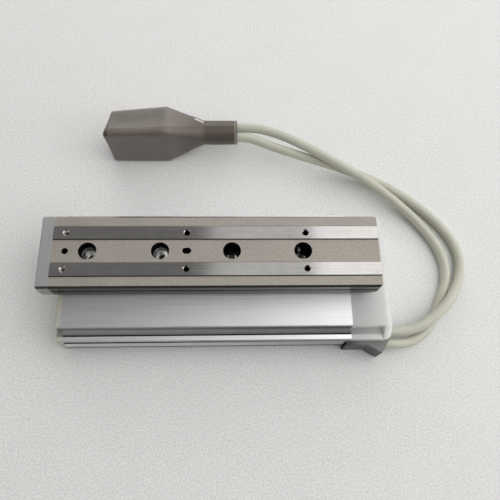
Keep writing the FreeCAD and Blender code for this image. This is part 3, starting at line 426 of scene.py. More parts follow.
# Painted shade: the table's inside and holes in near-black with almost no gloss, where shade falls
DARK_BORE = Finish("bore_painted_shade", "#121110", PLAIN, 0.6, grain_size=0.3 * MM, gleam=0.05)
# Painted glint and shade: the left pair of threads near-white, the other threads dark
THREAD_GLINT = Finish("thread_painted_glint", "#fbfaf8", METAL, 0.2, grain_size=0.2 * MM)
THREAD_SHADE = replace(THREAD_GLINT, name="thread_painted_shade", colour="#383634", roughness=0.3)
PLATE_ALU = Finish("end_plate_anodised", "#c1c1c0", METAL, 0.42, grain_size=0.3 * MM, grain_shade=0.05)
# Painted shade: the end plate's front face and its front chamfer are darker copies of its anodised finish
PLATE_FRONT = replace(PLATE_ALU, name="end_plate_front", colour="#a2a2a1")
PLATE_EDGE = replace(PLATE_ALU, name="end_plate_edge", colour="#6c6c6b")

# The guide under the table
GUIDE_STEEL = Finish("guide_steel", "#77757a", METAL, 0.25, Grain.ALONG, 0.3 * MM)
# Painted shade: the block's top, seen through the table's holes under the table, in near-black
GUIDE_TOP = Finish("guide_top_painted_shade", "#333234", METAL, 0.4, Grain.ALONG, 0.3 * MM)
RIM_STEEL = Finish("turned_rim_steel", "#8f8d8b", METAL, 0.25, grain_size=0.3 * MM)
# Painted glint and shade: the block's bores near-white low down, darkening towards their top
BORE_STEEL = RampFinish("bore_steel", "#f4f3f1", METAL, 0.14, grain_size=0.6 * MM, far_colour="#f4f3f1",
                        ramp_full=25.0 * MM, ramp_edge=28.6 * MM, ramp_share=0.1)
CAP_RESIN = Finish("guide_cap_resin", "#2c2f31", PLAIN, 0.45)
BALL_STEEL = Finish("ball_steel", "#c4c4c4", METAL, 0.08, grain_shade=0.02)

# The body extrusion
BODY_ALU = MilledFinish("body_anodised", "#ebebec", METAL, 0.45, Grain.ALONG, 0.5 * MM, grain_shade=0.09,
                        grain_depth=0.006 * MM, mottle_shade=0.02, brushed=0.8,
                        seat_from=BENCH_ZERO.y + 0.3 * MM, seat_to=BENCH_ZERO.y + 33 * MM,
                        seat_roughness=0.12)
# Painted light: the ledge in a lighter copy of the body's anodised finish, a little darker to the right
LEDGE_ALU = FadedFinish("ledge_anodised", "#f8f8fa", METAL, 0.38, Grain.ALONG, 0.5 * MM,
                        grain_depth=0.006 * MM, mottle_shade=0.02, brushed=0.8,
                        far_colour="#e6e6e8", **LENGTH_FADE)
# Painted shade: the channel darker than the top, darker again to the right and towards its front
CHANNEL_ALU = RampFinish("channel_painted_shade", "#aeafaf", METAL, 0.62, Grain.ALONG, grain_shade=0.12,
                         far_colour="#8c8d8d", ramp_axis=Axis.Y, ramp_full=BENCH_ZERO.y - 17.0 * MM,
                         ramp_edge=BENCH_ZERO.y - 18.6 * MM, ramp_share=0.5, **LENGTH_FADE)
# Painted shade: the front strip darkens to the right and turns near-black along its lowest two millimetres,
# as a shadow line at the foot
STRIP_ALU = RampFinish("front_anodised_painted_shade", "#e0e0e0", METAL, 0.45, Grain.ALONG, 0.5 * MM,
                       grain_depth=0.006 * MM, mottle_shade=0.02, brushed=0.8, far_colour="#b6b6b7",
                       ramp_full=5.6 * MM, ramp_edge=4.5 * MM, ramp_share=0.05, **STRIP_FADE)
SEAM_FADED = FadedFinish("ledge_seam_shadow", "#2a2a2b", PLAIN, 0.6, Grain.ALONG, gleam=0.1,
                         far_colour="#a2a2a3", **LENGTH_FADE)
SEAM_DARK = Finish("seam_shadow", "#1e1e1f", PLAIN, 0.6, Grain.ALONG, gleam=0.1)
BRIGHT_BORE = Finish("reamed_bore", "#f4f3f1", METAL, 0.14, grain_size=0.6 * MM, grain_shade=0.04)

# The covers and the grommet
CREAM_RESIN = Finish("end_cover_cream", "#b6b6aa", PLAIN, 0.42, glow=0.15)
# Painted shade: the end cover's channel part in a darker copy of its cream
CREAM_RECESS = Finish("end_cover_recess", "#80807a", PLAIN, 0.42, glow=0.05)
# Painted light: the pulley cover turns lighter towards its rounded right end; its front part is a lighter
# copy and its recess walls near-white
GREY_RESIN = FadedFinish("pulley_cover_grey", "#b6b7b5", PLAIN, 0.42, grain_size=0.6 * MM,
                         grain_shade=0.02, far_colour="#d3d3d0", **COVER_FADE)
PALE_RESIN = replace(GREY_RESIN, name="cover_edge_grey", colour="#bdbebc", far_colour="#e2e2df")
WALL_RESIN = Finish("cover_wall_grey", "#efefec", PLAIN, 0.42, grain_size=0.6 * MM, grain_shade=0.02)
# Painted shade: the cover's recess floor in a darker copy of its grey
RECESS_SHADE_RESIN = replace(GREY_RESIN, name="cover_recess_painted_shade", colour="#8e8f8d", far_colour="#c9c9c7",
                     roughness=0.5, grain_shade=0.03)
# Painted light and shade: the grommet's sides in dark grey, its top faces lighter, turning near-black at
# its left end
DARK_RESIN = Finish("grommet_dark", "#454544", PLAIN, 0.45, grain_size=0.6 * MM)
GROMMET_TOP = FadedFinish("grommet_top", "#2c2c2b", PLAIN, 0.4, grain_size=0.6 * MM, grain_shade=0.05,
                          far_colour="#757573", **GROMMET_FADE)

# The drive inside, and screws
SCREW_STEEL = Finish("screw_black_oxide", "#3b3a3a", METAL, 0.35, Grain.ROUND_X, 0.3 * MM)
SHAFT_STEEL = Finish("shaft_steel", "#b0afae", METAL, 0.2, Grain.ROUND_X, 0.3 * MM)
BEARING_STEEL = Finish("bearing_steel", "#aaa9a8", METAL, 0.18, Grain.ROUND_X, 0.3 * MM)
NUT_BRASS = Finish("nut_brass", "#b08d4c", METAL, 0.3, Grain.ROUND_X, 0.3 * MM)
SEAL_RUBBER = Finish("seal_rubber", "#232323", PLAIN, 0.6, sheen=0.1)
BELT_RUBBER = Finish("belt_rubber", "#1d1d1d", PLAIN, 0.7, Grain.ACROSS, 0.6 * MM)
PULLEY_ALU = Finish("pulley_alu", "#b7b8b9", METAL, 0.3, Grain.ROUND_X, 0.3 * MM)
PLATE_STEEL = Finish("motor_plate_zinc", "#a3a6a4", METAL, 0.38)
MOTOR_ALU = Finish("motor_cast_alu", "#8f9090", METAL, 0.5, grain_depth=0.03 * MM)
STATOR_STEEL = Finish("stator_laminations", "#47474a", METAL, 0.5, Grain.ROUND_X, 0.35 * MM,
                      grain_shade=0.25)
ENCODER_RESIN = Finish("encoder_black", "#26272a", PLAIN, 0.5)
DISC_METAL = Finish("disc_metal", "#c0bfbd", METAL, 0.2)

# The cables, their connector and its soft cover
JACKET_VINYL = Finish("cable_vinyl", "#bebeae", PLAIN, 0.46, grain_size=0.5 * MM, grain_shade=0.03,
                      mottle_size=9 * MM, sheen=0.05)
PLUG_RESIN = Finish("plug_resin", "#d8d6cc", PLAIN, 0.4)
# The vinyl turns brown towards the neck; the fade begins before the shoulder, so the taper is also painted
# darker, as painted shade
BOOT_VINYL = FadedFinish("boot_vinyl", "#7a736d", PLAIN, 0.38, grain_size=0.6 * MM, grain_shade=0.04,
                         mottle_size=7 * MM, mottle_shade=0.07, sheen=0.1, far_colour="#5c534a",
                         **BOOT_FADE)
# Painted light and shade: the boot's ridge band in a brown mid tone and its front face in a darker copy of
# the vinyl
BOOT_RIDGE = replace(BOOT_VINYL, name="boot_ridge", colour="#70655c", far_colour="#554a40",
                     grain_shade=0.05, mottle_shade=0.08)
BOOT_FRONT = replace(BOOT_VINYL, name="boot_front", colour="#66605a", far_colour="#433d35",
                     roughness=0.36, grain_shade=0.05, mottle_shade=0.1)
# Painted highlight: a near-white streak along the fold at the taper's rear top edge
BOOT_FOLD_HIGHLIGHT = Finish("boot_fold_painted_highlight", "#c6c1b9", PLAIN, 0.3, grain_size=1.2 * MM, grain_shade=0.4)
BOOT_TIP = Finish("boot_dark_tip", "#4b4540", PLAIN, 0.4, grain_size=0.6 * MM)
BOOT_LIP = Finish("boot_pale_lip", "#8d857d", PLAIN, 0.4, grain_size=0.6 * MM)

# The floor
FLOOR_PAPER = Finish("floor_paper", "#dfdedc", PLAIN, 0.75, grain_size=0.9 * MM, grain_shade=0.16,
                     grain_depth=0.04 * MM, mottle_size=25 * MM, mottle_shade=0.012)


def paint(node: str, finish: Finish) -> None:
    """Give a whole CAD node one finish.

    Args:
        node: Name of the CAD node.
        finish: Its finish.
    """
    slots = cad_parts[node].data.materials
    slots.clear()
    slots.append(finish.material())
    log.info("%s: %s", node, finish.name)


def add_finish(mesh: bpy.types.Mesh, finish: Finish) -> int:
    """Add a finish to those of a mesh and return its number there."""
    mesh.materials.append(finish.material())
    return len(mesh.materials) - 1


def paint_faces(node: str, finish: Finish, test: FaceTest) -> None:
    """Give some faces of a CAD node another finish.

    Args:
        node: Name of the CAD node, painted whole before.
        finish: Finish of the chosen faces.
        test: Takes a face's middle in the bench frame and its normal.
    """
    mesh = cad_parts[node].data
    number = add_finish(mesh, finish)
    chosen = [face for face in mesh.polygons if test(face.center - BENCH_ZERO, face.normal)]
    for face in chosen:
        face.material_index = number
    log.info("%s: %s on %d faces", node, finish.name, len(chosen))


def add_mesh(name: str, points: Iterable[Vector], faces: Iterable[Sequence[int]],
             finish: Finish) -> bpy.types.Object:
    """Make a smooth mesh object from points and faces.

    Args:
        name: Name of the piece.
        points: Corners in the row frame.
        faces: Corner numbers of each face.
        finish: Finish of the whole piece.

    Returns:
        The new object, linked to the scene.
    """
    mesh = bpy.data.meshes.new(name)
    mesh.from_pydata([tuple(point) for point in points], [], [tuple(face) for face in faces])
    mesh.validate()
    mesh.materials.append(finish.material())
    mesh.shade_smooth()
    piece = bpy.data.objects.new(name, mesh)
    bpy.context.scene.collection.objects.link(piece)
    log.info("%s: %d faces", name, len(mesh.polygons))
    return piece


class Unit:
    """A sub-assembly of the slide table, which fills in the steps that it needs."""

    def dress(self) -> None:
        """Give the unit's CAD nodes their finishes."""

    def build(self) -> None:
        """Make the pieces that the scene adds to the unit."""


@dataclass
class TableUnit(Unit):
    """The steel table, its end plate and what they carry.

    Attributes:
        top: Height of the ground lands.
        length: Length of the table along X.
        width: Width over the skirts.
        skin: Depth from the outside within which a face counts as a flank or as the top.
        groove_drop: Drop from the lands to the flank's groove.
        groove_wide: Width of that groove.
        groove_deep: Depth of that groove.
        thread_xs: Places of the tapped holes along X.
        thread_ys: Places of the two rows of tapped holes.
        thread_drill: Diameter of the drilled hole.
        thread_start: Depth at which the thread begins.
        thread_deep: Length of the thread.
        thread_pitch: Drop of the thread in one turn.
        ridge_high: Height of the ridge inwards from the drilled wall.
        ridge_sink: How far the ridge's foot is set into the wall.
        ridge_half: Half of the ridge's foot as a share of the pitch.
        bright_end: Place along X up to which the threads are painted near-white as a glint; past it they
            are painted dark as shade.
        round_steps: Steps of the ridge in one turn.
    """

    top: float = 36.5 * MM
    length: float = 153.5 * MM
    width: float = 34.2 * MM
    skin: float = 1.5 * MM
    groove_drop: float = 4.9 * MM
    groove_wide: float = 1.3 * MM
    groove_deep: float = 0.6 * MM
    thread_xs: tuple[float, ...] = (6.0 * MM, 62.3 * MM, 118.6 * MM)
    thread_ys: tuple[float, ...] = (8.1 * MM, 26.1 * MM)
    thread_drill: float = 2.5 * MM
    thread_start: float = 0.5 * MM
    thread_deep: float = 4.4 * MM
    thread_pitch: float = 0.5 * MM
    ridge_high: float = 0.28 * MM
    ridge_sink: float = 0.02 * MM
    ridge_half: float = 0.42
    bright_end: float = 30.0 * MM
    round_steps: int = 28

    def dress(self) -> None:
        """Give the table and its neighbours their finishes."""
        crown = self.top - self.skin
        front = -FLANK_OUT
        rear = self.width + FLANK_OUT
        groove_top = self.top - self.groove_drop + HAIR
        groove_low = groove_top - self.groove_wide - 2 * HAIR
        groove_end = self.groove_deep + HAIR
        # The whole table starts near-black, as painted shade for its inside and holes
        paint("table", DARK_BORE)
        paint_faces("table", EDGE_STEEL, lambda place, normal: HALF < normal.z < SQUARE_ON
                    and place.z > crown)
        paint_faces("table", MATTE_STEEL, lambda place, normal: normal.z > SQUARE_ON
                    and place.z > crown)
        paint_faces("table", GROUND_STEEL, lambda place, normal: normal.z > SQUARE_ON
                    and place.z > self.top - HAIR)
        # Painted reflection on the flanks, darker at the left
        paint_faces("table", SIDE_STEEL, lambda place, normal: normal.z < HALF
                    and (place.y < self.skin or place.y > self.width - self.skin
                         or place.x > self.length - self.skin))
        # Painted glint: the bores of the left pair of tapped holes take the near-white thread finish
        paint_faces("table", THREAD_GLINT, lambda place, normal: place.x < self.bright_end and any(
            math.hypot(place.x - self.thread_xs[0], place.y - y) < self.thread_drill / 2 + HAIR
            for y in self.thread_ys))
        # Painted light and shade in the flanks' groove
        paint_faces("table", GROOVE_STEEL, lambda place, normal: groove_low < place.z < groove_top
                    and (HAIR < place.y - front < groove_end or HAIR < rear - place.y < groove_end))
        paint("end_plate", PLATE_ALU)
        # Painted shade on the end plate's front face and front chamfer
        paint_faces("end_plate", PLATE_FRONT, lambda place, normal: normal.y < -SQUARE_ON)
        paint_faces("end_plate", PLATE_EDGE, lambda place, normal: -SQUARE_ON < normal.y < 0.0
                    and normal.z > HARDLY)
        paint("end_plate_screws", SCREW_STEEL)
        paint("rod", SHAFT_STEEL)
        paint("rod_bolt", SCREW_STEEL)
        paint("lead_nut", NUT_BRASS)

    def build(self) -> None:
        """Cut-thread ridges inside the table's tapped holes, painted as a glint at the left pair and as
        shade elsewhere.
        """
        points: list[Vector] = []
        faces: list[tuple[int, ...]] = []
        for x in self.thread_xs:
            for y in self.thread_ys:
                self.thread(at(x, y, self.top - self.thread_start), points, faces)
        ridges = add_mesh("table_threads", points, faces, THREAD_GLINT)
        # Painted shade on the threads past the left pair
        dark = add_finish(ridges.data, THREAD_SHADE)
        for face in ridges.data.polygons:
            if face.center.x > BENCH_ZERO.x + self.bright_end:
                face.material_index = dark
        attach(ridges, "carriage")

    def thread(self, mouth: Vector, points: list[Vector], faces: list[tuple[int, ...]]) -> None:
        """Add one helical ridge that runs down from a hole's mouth.

        Args:
            mouth: Middle of the hole where the thread starts.
            points: List that takes the ridge's corners.
            faces: List that takes the ridge's faces.
        """
        root = self.thread_drill / 2 + self.ridge_sink
        crest = self.thread_drill / 2 - self.ridge_high
        half = self.ridge_half * self.thread_pitch
        profile = ((root, half), (crest, 0.0), (root, -half))
        steps = int(self.thread_deep / self.thread_pitch * self.round_steps)
        first = len(points)
        for i in range(steps + 1):
            turn = math.tau * i / self.round_steps
            drop = self.thread_pitch * i / self.round_steps
            way = Vector((math.cos(turn), math.sin(turn), 0.0))
            for radius, rise in profile:
                points.append(mouth + way * radius + Vector((0.0, 0.0, rise - drop)))
        for i in range(steps):
            here = first + len(profile) * i
            after = here + len(profile)
            for k in range(len(profile) - 1):
                faces.append((here + k, here + k + 1, after + k + 1, after + k))


@dataclass
class GuideUnit(Unit):
    """The ball guide between the body and the table.

    Attributes:
        hole_xs: Places of the block's two through holes along X.
        hole_y: Their place along Y.
        hole: Their diameter.
        top: Height of the block's top.
        slack: Slack when a face is taken for the top or for a hole.
        rim_wide: Width of the turned rim round a hole.
        rim_high: Height of the rim.
        rim_crest: Share of the rim's width at which it is highest.
        round_steps: Steps of the rim in one turn.
    """

    hole_xs: tuple[float, ...] = (16.3 * MM, 49.9 * MM)
    hole_y: float = 17.1 * MM
    hole: float = 6.6 * MM
    top: float = 30.9 * MM
    slack: float = 0.1 * MM
    rim_wide: float = 0.35 * MM
    rim_high: float = 0.2 * MM
    rim_crest: float = 0.4
    round_steps: int = 48

    def dress(self) -> None:
        """Give the guide's pieces their finishes."""
        reach = self.hole / 2 + self.slack
        paint("guide_block", GUIDE_STEEL)
        # Painted shade on the block's top
        paint_faces("guide_block", GUIDE_TOP, lambda place, normal: normal.z > SQUARE_ON
                    and place.z > self.top - self.slack)
        # Painted glint low in the block's bores, painted shade near their top
        paint_faces("guide_block", BORE_STEEL, lambda place, normal: abs(normal.z) < HALF and any(
            math.hypot(place.x - x, place.y - self.hole_y) < reach for x in self.hole_xs))
        paint("guide_end_caps", CAP_RESIN)
        paint("guide_balls", BALL_STEEL)
        paint("guide_screws", SCREW_STEEL)

    def build(self) -> None:
        """Turned rims round the two through holes of the guide block."""
        points: list[Vector] = []
        faces: list[tuple[int, ...]] = []
        inner = self.hole / 2
        profile = ((inner, 0.0), (inner + self.rim_crest * self.rim_wide, self.rim_high),
                   (inner + self.rim_wide, 0.0))
        for x in self.hole_xs:
            first = len(points)
            for i in range(self.round_steps):
                turn = math.tau * i / self.round_steps
                for radius, rise in profile:
                    points.append(at(x + radius * math.cos(turn), self.hole_y + radius * math.sin(turn),
                                     self.top + rise))
            for i in range(self.round_steps):
                here = first + len(profile) * i
                after = first + len(profile) * ((i + 1) % self.round_steps)
                for k in range(len(profile) - 1):
                    faces.append((here + k, after + k, after + k + 1, here + k + 1))
        rims = add_mesh("guide_hole_rims", points, faces, RIM_STEEL)
        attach(rims, "base")


@dataclass
class BodyUnit(Unit):
    """The body extrusion with its covers and screws.

    Attributes:
        top: Height of the body's top.
        top_front: Front edge of the top, where the channel begins.
        slot_rear: Rear wall of the slot in the channel.
        slot_front: Front wall of that slot, which is the ledge's rear.
        slot_low: Height of the slot's bottom.
        ledge_top: Height of the ledge in front of the channel.
        ledge_skin: Depth within which a face counts as the ledge's top.
        front: Front of the body.
        foot_high: Height of the recessed foot.
        centre: Middle of the recesses for the body's screws along Y.
        recess_half: Their radius.
    """

    top: float = 22.5 * MM
    top_front: float = -16.1 * MM
    slot_rear: float = -18.5 * MM
    slot_front: float = -19.25 * MM
    slot_low: float = 15.8 * MM
    ledge_top: float = 17.5 * MM
    ledge_skin: float = 0.5 * MM
    front: float = -21.7 * MM
    foot_high: float = 3.4 * MM
    centre: float = 17.1 * MM
    recess_half: float = 3.3 * MM

    def dress(self) -> None:
        """Give the body and its covers their finishes."""
        self.dress_body()
        self.dress_covers()

    def dress_body(self) -> None:
        """Give the extrusion's top, channel, ledge, strip, seams and bores their finishes."""
        below = self.top - HAIR
        channel_front = self.slot_front - HAIR
        channel_rear = self.top_front + HAIR
        ledge_low = self.ledge_top - self.ledge_skin
        paint("body_extrusion", BODY_ALU)
        # Painted shade in the channel
        paint_faces("body_extrusion", CHANNEL_ALU, lambda place, normal: place.z < below
                    and channel_front < place.y < channel_rear)
        # Painted light on the ledge
        paint_faces("body_extrusion", LEDGE_ALU, lambda place, normal: place.y < channel_front
                    and place.z > ledge_low)
        # Painted shade on the front strip
        paint_faces("body_extrusion", STRIP_ALU, lambda place, normal: place.y < channel_front
                    and place.z < ledge_low)
        paint_faces("body_extrusion", SEAM_FADED, lambda place, normal: place.z < ledge_low
                    and self.front + HAIR < place.y < channel_front)
        paint_faces("body_extrusion", SEAM_DARK, lambda place, normal: place.y < self.slot_rear + HAIR
                    and (place.z < self.foot_high + HAIR
                         or channel_front < place.y and place.z < self.slot_low + HAIR))
        paint_faces("body_extrusion", BRIGHT_BORE, lambda place, normal: HAIR < place.z < below
                    and abs(place.y - self.centre) < self.recess_half + HAIR)

    def dress_covers(self) -> None:
        """Give the two end covers, the grommet and the covers' screws their finishes."""
        channel_rear = self.top_front + HAIR
        paint("end_cover", CREAM_RESIN)
        # Painted shade in the end cover's channel part
        paint_faces("end_cover", CREAM_RECESS, lambda place, normal: place.z < self.top - HAIR
                    and self.slot_front - HAIR < place.y < channel_rear)
        # Painted light towards the cover's right end, on its front part and on its recess walls
        paint("pulley_cover", GREY_RESIN)
        paint_faces("pulley_cover", PALE_RESIN, lambda place, normal: place.y < channel_rear)
        paint_faces("pulley_cover", WALL_RESIN, lambda place, normal: abs(normal.z) < HARDLY
                    and self.slot_front < place.y < channel_rear and place.z > self.slot_low)
        # Painted shade on the cover's recess floor
        paint_faces("pulley_cover", RECESS_SHADE_RESIN, lambda place, normal: normal.z > SQUARE_ON
                    and self.slot_front < place.y < self.top_front)
        # Painted shade on the grommet's sides and left end, painted light on its top
        paint("cable_grommet", DARK_RESIN)
        paint_faces("cable_grommet", GROMMET_TOP, lambda place, normal: normal.z > MOSTLY)
        paint_faces("cable_grommet", SEAM_DARK, lambda place, normal: normal.x < -MOSTLY
                    and place.y < self.front)
        for node in ("end_cover_screws", "pulley_cover_screws"):
            paint(node, SCREW_STEEL)


class DriveUnit(Unit):
    """Motor, belt and lead screw inside the body."""

    FINISHES: ClassVar[dict[str, Finish]] = {
        "lead_screw": SHAFT_STEEL,
        "bearing_inner_rings": BEARING_STEEL,
        "bearing_outer_rings": BEARING_STEEL,
        "screw_spacer": SHAFT_STEEL,
        "screw_pulley": PULLEY_ALU,
        "pulley_lock_nut": SCREW_STEEL,
        "motor_shaft": SHAFT_STEEL,
        "motor_rotor": STATOR_STEEL,
        "motor_pulley": PULLEY_ALU,
        "encoder_disc": DISC_METAL,
        "rod_bush": NUT_BRASS,
        "rod_seal": SEAL_RUBBER,
        "drive_belt": BELT_RUBBER,
        "motor_plate": PLATE_STEEL,
        "motor_plate_screws": SCREW_STEEL,
        "motor_screws": SCREW_STEEL,
        "motor_flange": MOTOR_ALU,
        "motor_stator": STATOR_STEEL,
        "motor_end_bell": MOTOR_ALU,
        "encoder_housing": ENCODER_RESIN,
    }

    def dress(self) -> None:
        """Give every inner piece its finish."""
        for node, finish in self.FINISHES.items():
            paint(node, finish)


@dataclass
class ConnectorBoot:
    """The soft vinyl cover over the cables' connector: a block, a taper and a round neck.

    Attributes:
        left: Left end of the block.
        shoulder: Place along X where the block ends and the taper begins.
        neck_start: Place along X where the neck begins.
        neck_end: Right end of the neck.
        front: Front of the block.
        end_rear: Rear of the block at its left end.
        rear: Rear of the block at the shoulder.
        end_high: Height of the block at its left end.
        high: Height of the block at the shoulder.
        neck_y: Place of the neck's axis along Y.
        neck_z: Height of the neck's axis.
        neck_radius: Radius of the neck.
        neck_roundness: Corner radius of the neck's section as a share of its radius.
        edge_round: Radius of the block's edges.
        face_sag: How far the block's sides sink between the edges.
        rear_lag: How far the left end leans back at the rear.
        foot_lag: How far the left end leans back at the foot.
        foot_out: How far the front spreads at the foot.
        tip_out: How far the left end's front top corner is drawn out.
        tip_power: How closely that stays at the corner.
        tip_fade: How fast it dies away along X.
        tip_reach: Distance from the corner within which it is dark.
        end_shares: Rings of the left end's face as shares of its outline.
        end_dish: How far the middle of that face sinks.
        end_inset: How far that face's edge is set in.
        lip_flare: How far the neck's lip flares.
        lip_ease: Share of the flare that the neck's last ring takes.
        lip_wall: Thickness of the lip.
        lip_deep: Depth to which the neck is open.
        lip_bands: Bands of faces of the lip, counted from its closed middle.
        fold_start: Place along X where the painted highlight on the fold begins.
        fold_face: Face of a ring that the fold's painted highlight takes.
        ridge_faces: Faces of a ring that the ridge takes.
        crease_fine: Depth of the creases all over.
        crease_deep: Depth of the creases where the neck begins.
        crease_reach: How far these go along X.
        crease_long: Length of a crease.
        crease_wide: Width of a crease.
        block_rings: Rings along the block.
        taper_rings: Rings along the taper.
        neck_rings: Rings along the neck.
        corner_steps: Steps round a corner of a ring.
        side_steps: Points along a side of a ring.
    """

    left: float = 16.4 * MM
    shoulder: float = 49.0 * MM
    neck_start: float = 68.4 * MM
    neck_end: float = 86.9 * MM
    front: float = 85.6 * MM
    end_rear: float = 100.8 * MM
    rear: float = 103.2 * MM
    end_high: float = 27.6 * MM
    high: float = 29.0 * MM
    neck_y: float = 96.4 * MM
    neck_z: float = 12.9 * MM
    neck_radius: float = 6.5 * MM
    neck_roundness: float = 0.97
    edge_round: float = 2.4 * MM
    face_sag: float = 0.5 * MM
    rear_lag: float = 3.9 * MM
    foot_lag: float = 1.2 * MM
    foot_out: float = 0.9 * MM
    tip_out: float = 1.3 * MM
    tip_power: int = 4
    tip_fade: int = 3
    tip_reach: float = 3.2 * MM
    end_shares: tuple[float, ...] = (0.0, 0.45, 0.8, 0.95)
    end_dish: float = 0.35 * MM
    end_inset: float = 0.5 * MM
    lip_flare: float = 0.3 * MM
    lip_ease: float = 0.3
    lip_wall: float = 0.8 * MM
    lip_deep: float = 6.0 * MM
    lip_bands: tuple[int, int] = (5, 2)
    fold_start: float = 63.0 * MM
    fold_face: int = 4
    ridge_faces: int = 5
    crease_fine: float = 0.12 * MM
    crease_deep: float = 0.25 * MM
    crease_reach: float = 7.0 * MM
    crease_long: float = 9.0 * MM
    crease_wide: float = 3.5 * MM
    block_rings: int = 14
    taper_rings: int = 16
    neck_rings: int = 12
    corner_steps: int = 6
    side_steps: int = 7

    def outline(self, middle: Vector, half_y: float, half_z: float, corner: float,
                sag: float) -> list[Vector]:
        """A rounded rectangle across X whose sides sink a little between the corners.

        Args:
            middle: Middle of the section.
            half_y: Half of its width.
            half_z: Half of its height.
            corner: Radius of its corners.
            sag: How far each side sinks at its middle.

        Returns:
            Points once round, anticlockwise seen from +X.
        """
        points = []
        signs = ((1, 1), (-1, 1), (-1, -1), (1, -1))
        hubs = [middle + Vector((0.0, side_y * (half_y - corner), side_z * (half_z - corner)))
                for side_y, side_z in signs]
        for quarter, hub in enumerate(hubs):
            for i in range(self.corner_steps + 1):
                turn = math.pi / 2 * (quarter + i / self.corner_steps)
                outwards = Vector((0.0, math.cos(turn), math.sin(turn)))
                points.append(hub + corner * outwards)
            start = points[-1]
            end = hubs[(quarter + 1) % len(hubs)] + corner * outwards
            for i in range(1, self.side_steps + 1):
                share = i / (self.side_steps + 1)
                points.append(start.lerp(end, share) - outwards * sag * math.sin(math.pi * share))
        return points

    def ring(self, x: float) -> list[Vector]:
        """The outline at one place, from block to neck.

        Args:
            x: Place along X.

        Returns:
            Points once round.
        """
        share = held((x - self.shoulder) / (self.neck_start - self.shoulder))
        along = held((x - self.left) / (self.shoulder - self.left))
        rear = self.end_rear + (self.rear - self.end_rear) * along
        high = self.end_high + (self.high - self.end_high) * along
        block = Vector((x, (self.front + rear) / 2, high / 2))
        neck = Vector((x, self.neck_y, self.neck_z))
        half_y = (rear - self.front) / 2 * (1 - share) + self.neck_radius * share
        half_z = high / 2 * (1 - share) + self.neck_radius * share
        corner = self.edge_round * (1 - share) + self.neck_roundness * self.neck_radius * share
        sag = 0.0 if share else self.face_sag * math.sqrt(math.sin(math.pi * along))
        return self.outline(block.lerp(neck, share), half_y, half_z, corner, sag)

    def slanted(self, point: Vector) -> Vector:
        """Lean the left end back to rear and foot, draw its front top corner out, spread the foot.

        Args:
            point: Point of an upright ring.

        Returns:
            The point in its place.
        """
        to_rear = (point.y - self.front) / (self.rear - self.front)
        to_foot = 1 - point.z / self.high
        fade_left = held((self.shoulder - point.x) / (self.shoulder - self.left))
        fade_neck = held((self.neck_start - point.x) / (self.neck_start - self.shoulder))
        lean = fade_left * (self.rear_lag * to_rear + self.foot_lag * to_foot * (1 - to_rear))
        near_corner = max(1 - to_rear, 0.0) * max(1 - to_foot, 0.0)
        tip = self.tip_out * near_corner ** self.tip_power * fade_left ** self.tip_fade
        spread = self.foot_out * to_foot * (1 - to_rear) * fade_neck
        return point + Vector((lean - tip, -spread, 0.0))

    def creased(self, point: Vector) -> Vector:
        """Move a point a little, as soft vinyl does, most where the taper meets the neck.

        Args:
            point: Point of the smooth cover.

        Returns:
            The point in its place, not under the floor.
        """
        near_neck = math.exp(-((point.x - self.neck_start) / self.crease_reach) ** 2)
        pull = self.crease_fine + self.crease_deep * near_neck
        place = Vector((point.x / self.crease_long, point.y / self.crease_wide, point.z / self.crease_wide))
        axis = Vector((point.x, self.neck_y, self.neck_z))
        moved = point + (point - axis).normalized() * noise.noise(place) * pull
        return Vector((moved.x, moved.y, max(moved.z, 0.0)))

    def end_rings(self) -> list[list[Vector]]:
        """Rings of the left end's face, from its middle outwards.

        Returns:
            The rings, the first one a point.
        """
        edge = self.ring(self.left)
        hub = sum(edge, Vector()) / len(edge)
        rings = []
        for share in self.end_shares:
            dish = Vector((self.end_dish * (1 - share), 0.0, 0.0))
            rings.append([self.slanted(hub.lerp(point, share) + dish) for point in edge])
        return rings

    def side_rings(self) -> list[list[Vector]]:
        """Rings along the cover, the first one set in.

        Returns:
            The rings from the left end to the neck's end.
        """
        spans = ((self.left, self.shoulder, self.block_rings),
                 (self.shoulder, self.neck_start, self.taper_rings),
                 (self.neck_start, self.neck_end, self.neck_rings))
        places = [start + (end - start) * i / count for start, end, count in spans for i in range(count)]
        rings = []
        for x in (*places, self.neck_end):
            inset = Vector((self.end_inset if x == self.left else 0.0, 0.0, 0.0))
            rings.append([self.slanted(point + inset) for point in self.ring(x)])
        return rings

    def lip_rings(self, last: list[Vector]) -> list[list[Vector]]:
        """Rings of the neck's lip, which flares, turns inwards and closes inside.

        Args:
            last: Ring at the neck's end.

        Returns:
            The rings from the lip's outer edge to the closed middle.
        """
        axis = Vector((0.0, self.neck_y, self.neck_z))
        steps = ((0.0, 0.0), (self.lip_wall, 0.0), (self.lip_wall, self.lip_deep),
                 (self.neck_radius, self.lip_deep))
        rings = []
        for inwards, back in steps:
            ring = []
            for point in last:
                spoke = Vector((0.0, point.y, point.z)) - axis
                reach = max(spoke.length + self.lip_flare - inwards, 0.0)
                ring.append(Vector((point.x - back, 0.0, 0.0)) + axis + spoke.normalized() * reach)
            rings.append(ring)
        return rings

    def build(self) -> bpy.types.Object:
        """Loft the rings, close the left end and turn the neck's lip inwards.

        Returns:
            The finished piece, riding on the base.
        """
        sides = self.side_rings()
        lip = self.lip_rings(sides[-1])
        sides[-1] = [point.lerp(flared, self.lip_ease) for point, flared in zip(sides[-1], lip[0])]
        rings = [*self.end_rings(), *sides, *lip]
        points = [at(*self.creased(point)) for ring in rings for point in ring]
        count = len(rings[0])
        faces = []
        for here in range(0, len(points) - count, count):
            for i in range(count):
                after = (i + 1) % count
                faces.append((here + i, here + after, here + count + after, here + count + i))
        boot = add_mesh("connector_boot", points, faces, BOOT_VINYL)
        self.tone(boot.data, count)
        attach(boot, "base")
        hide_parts("connector_cover")
        return boot

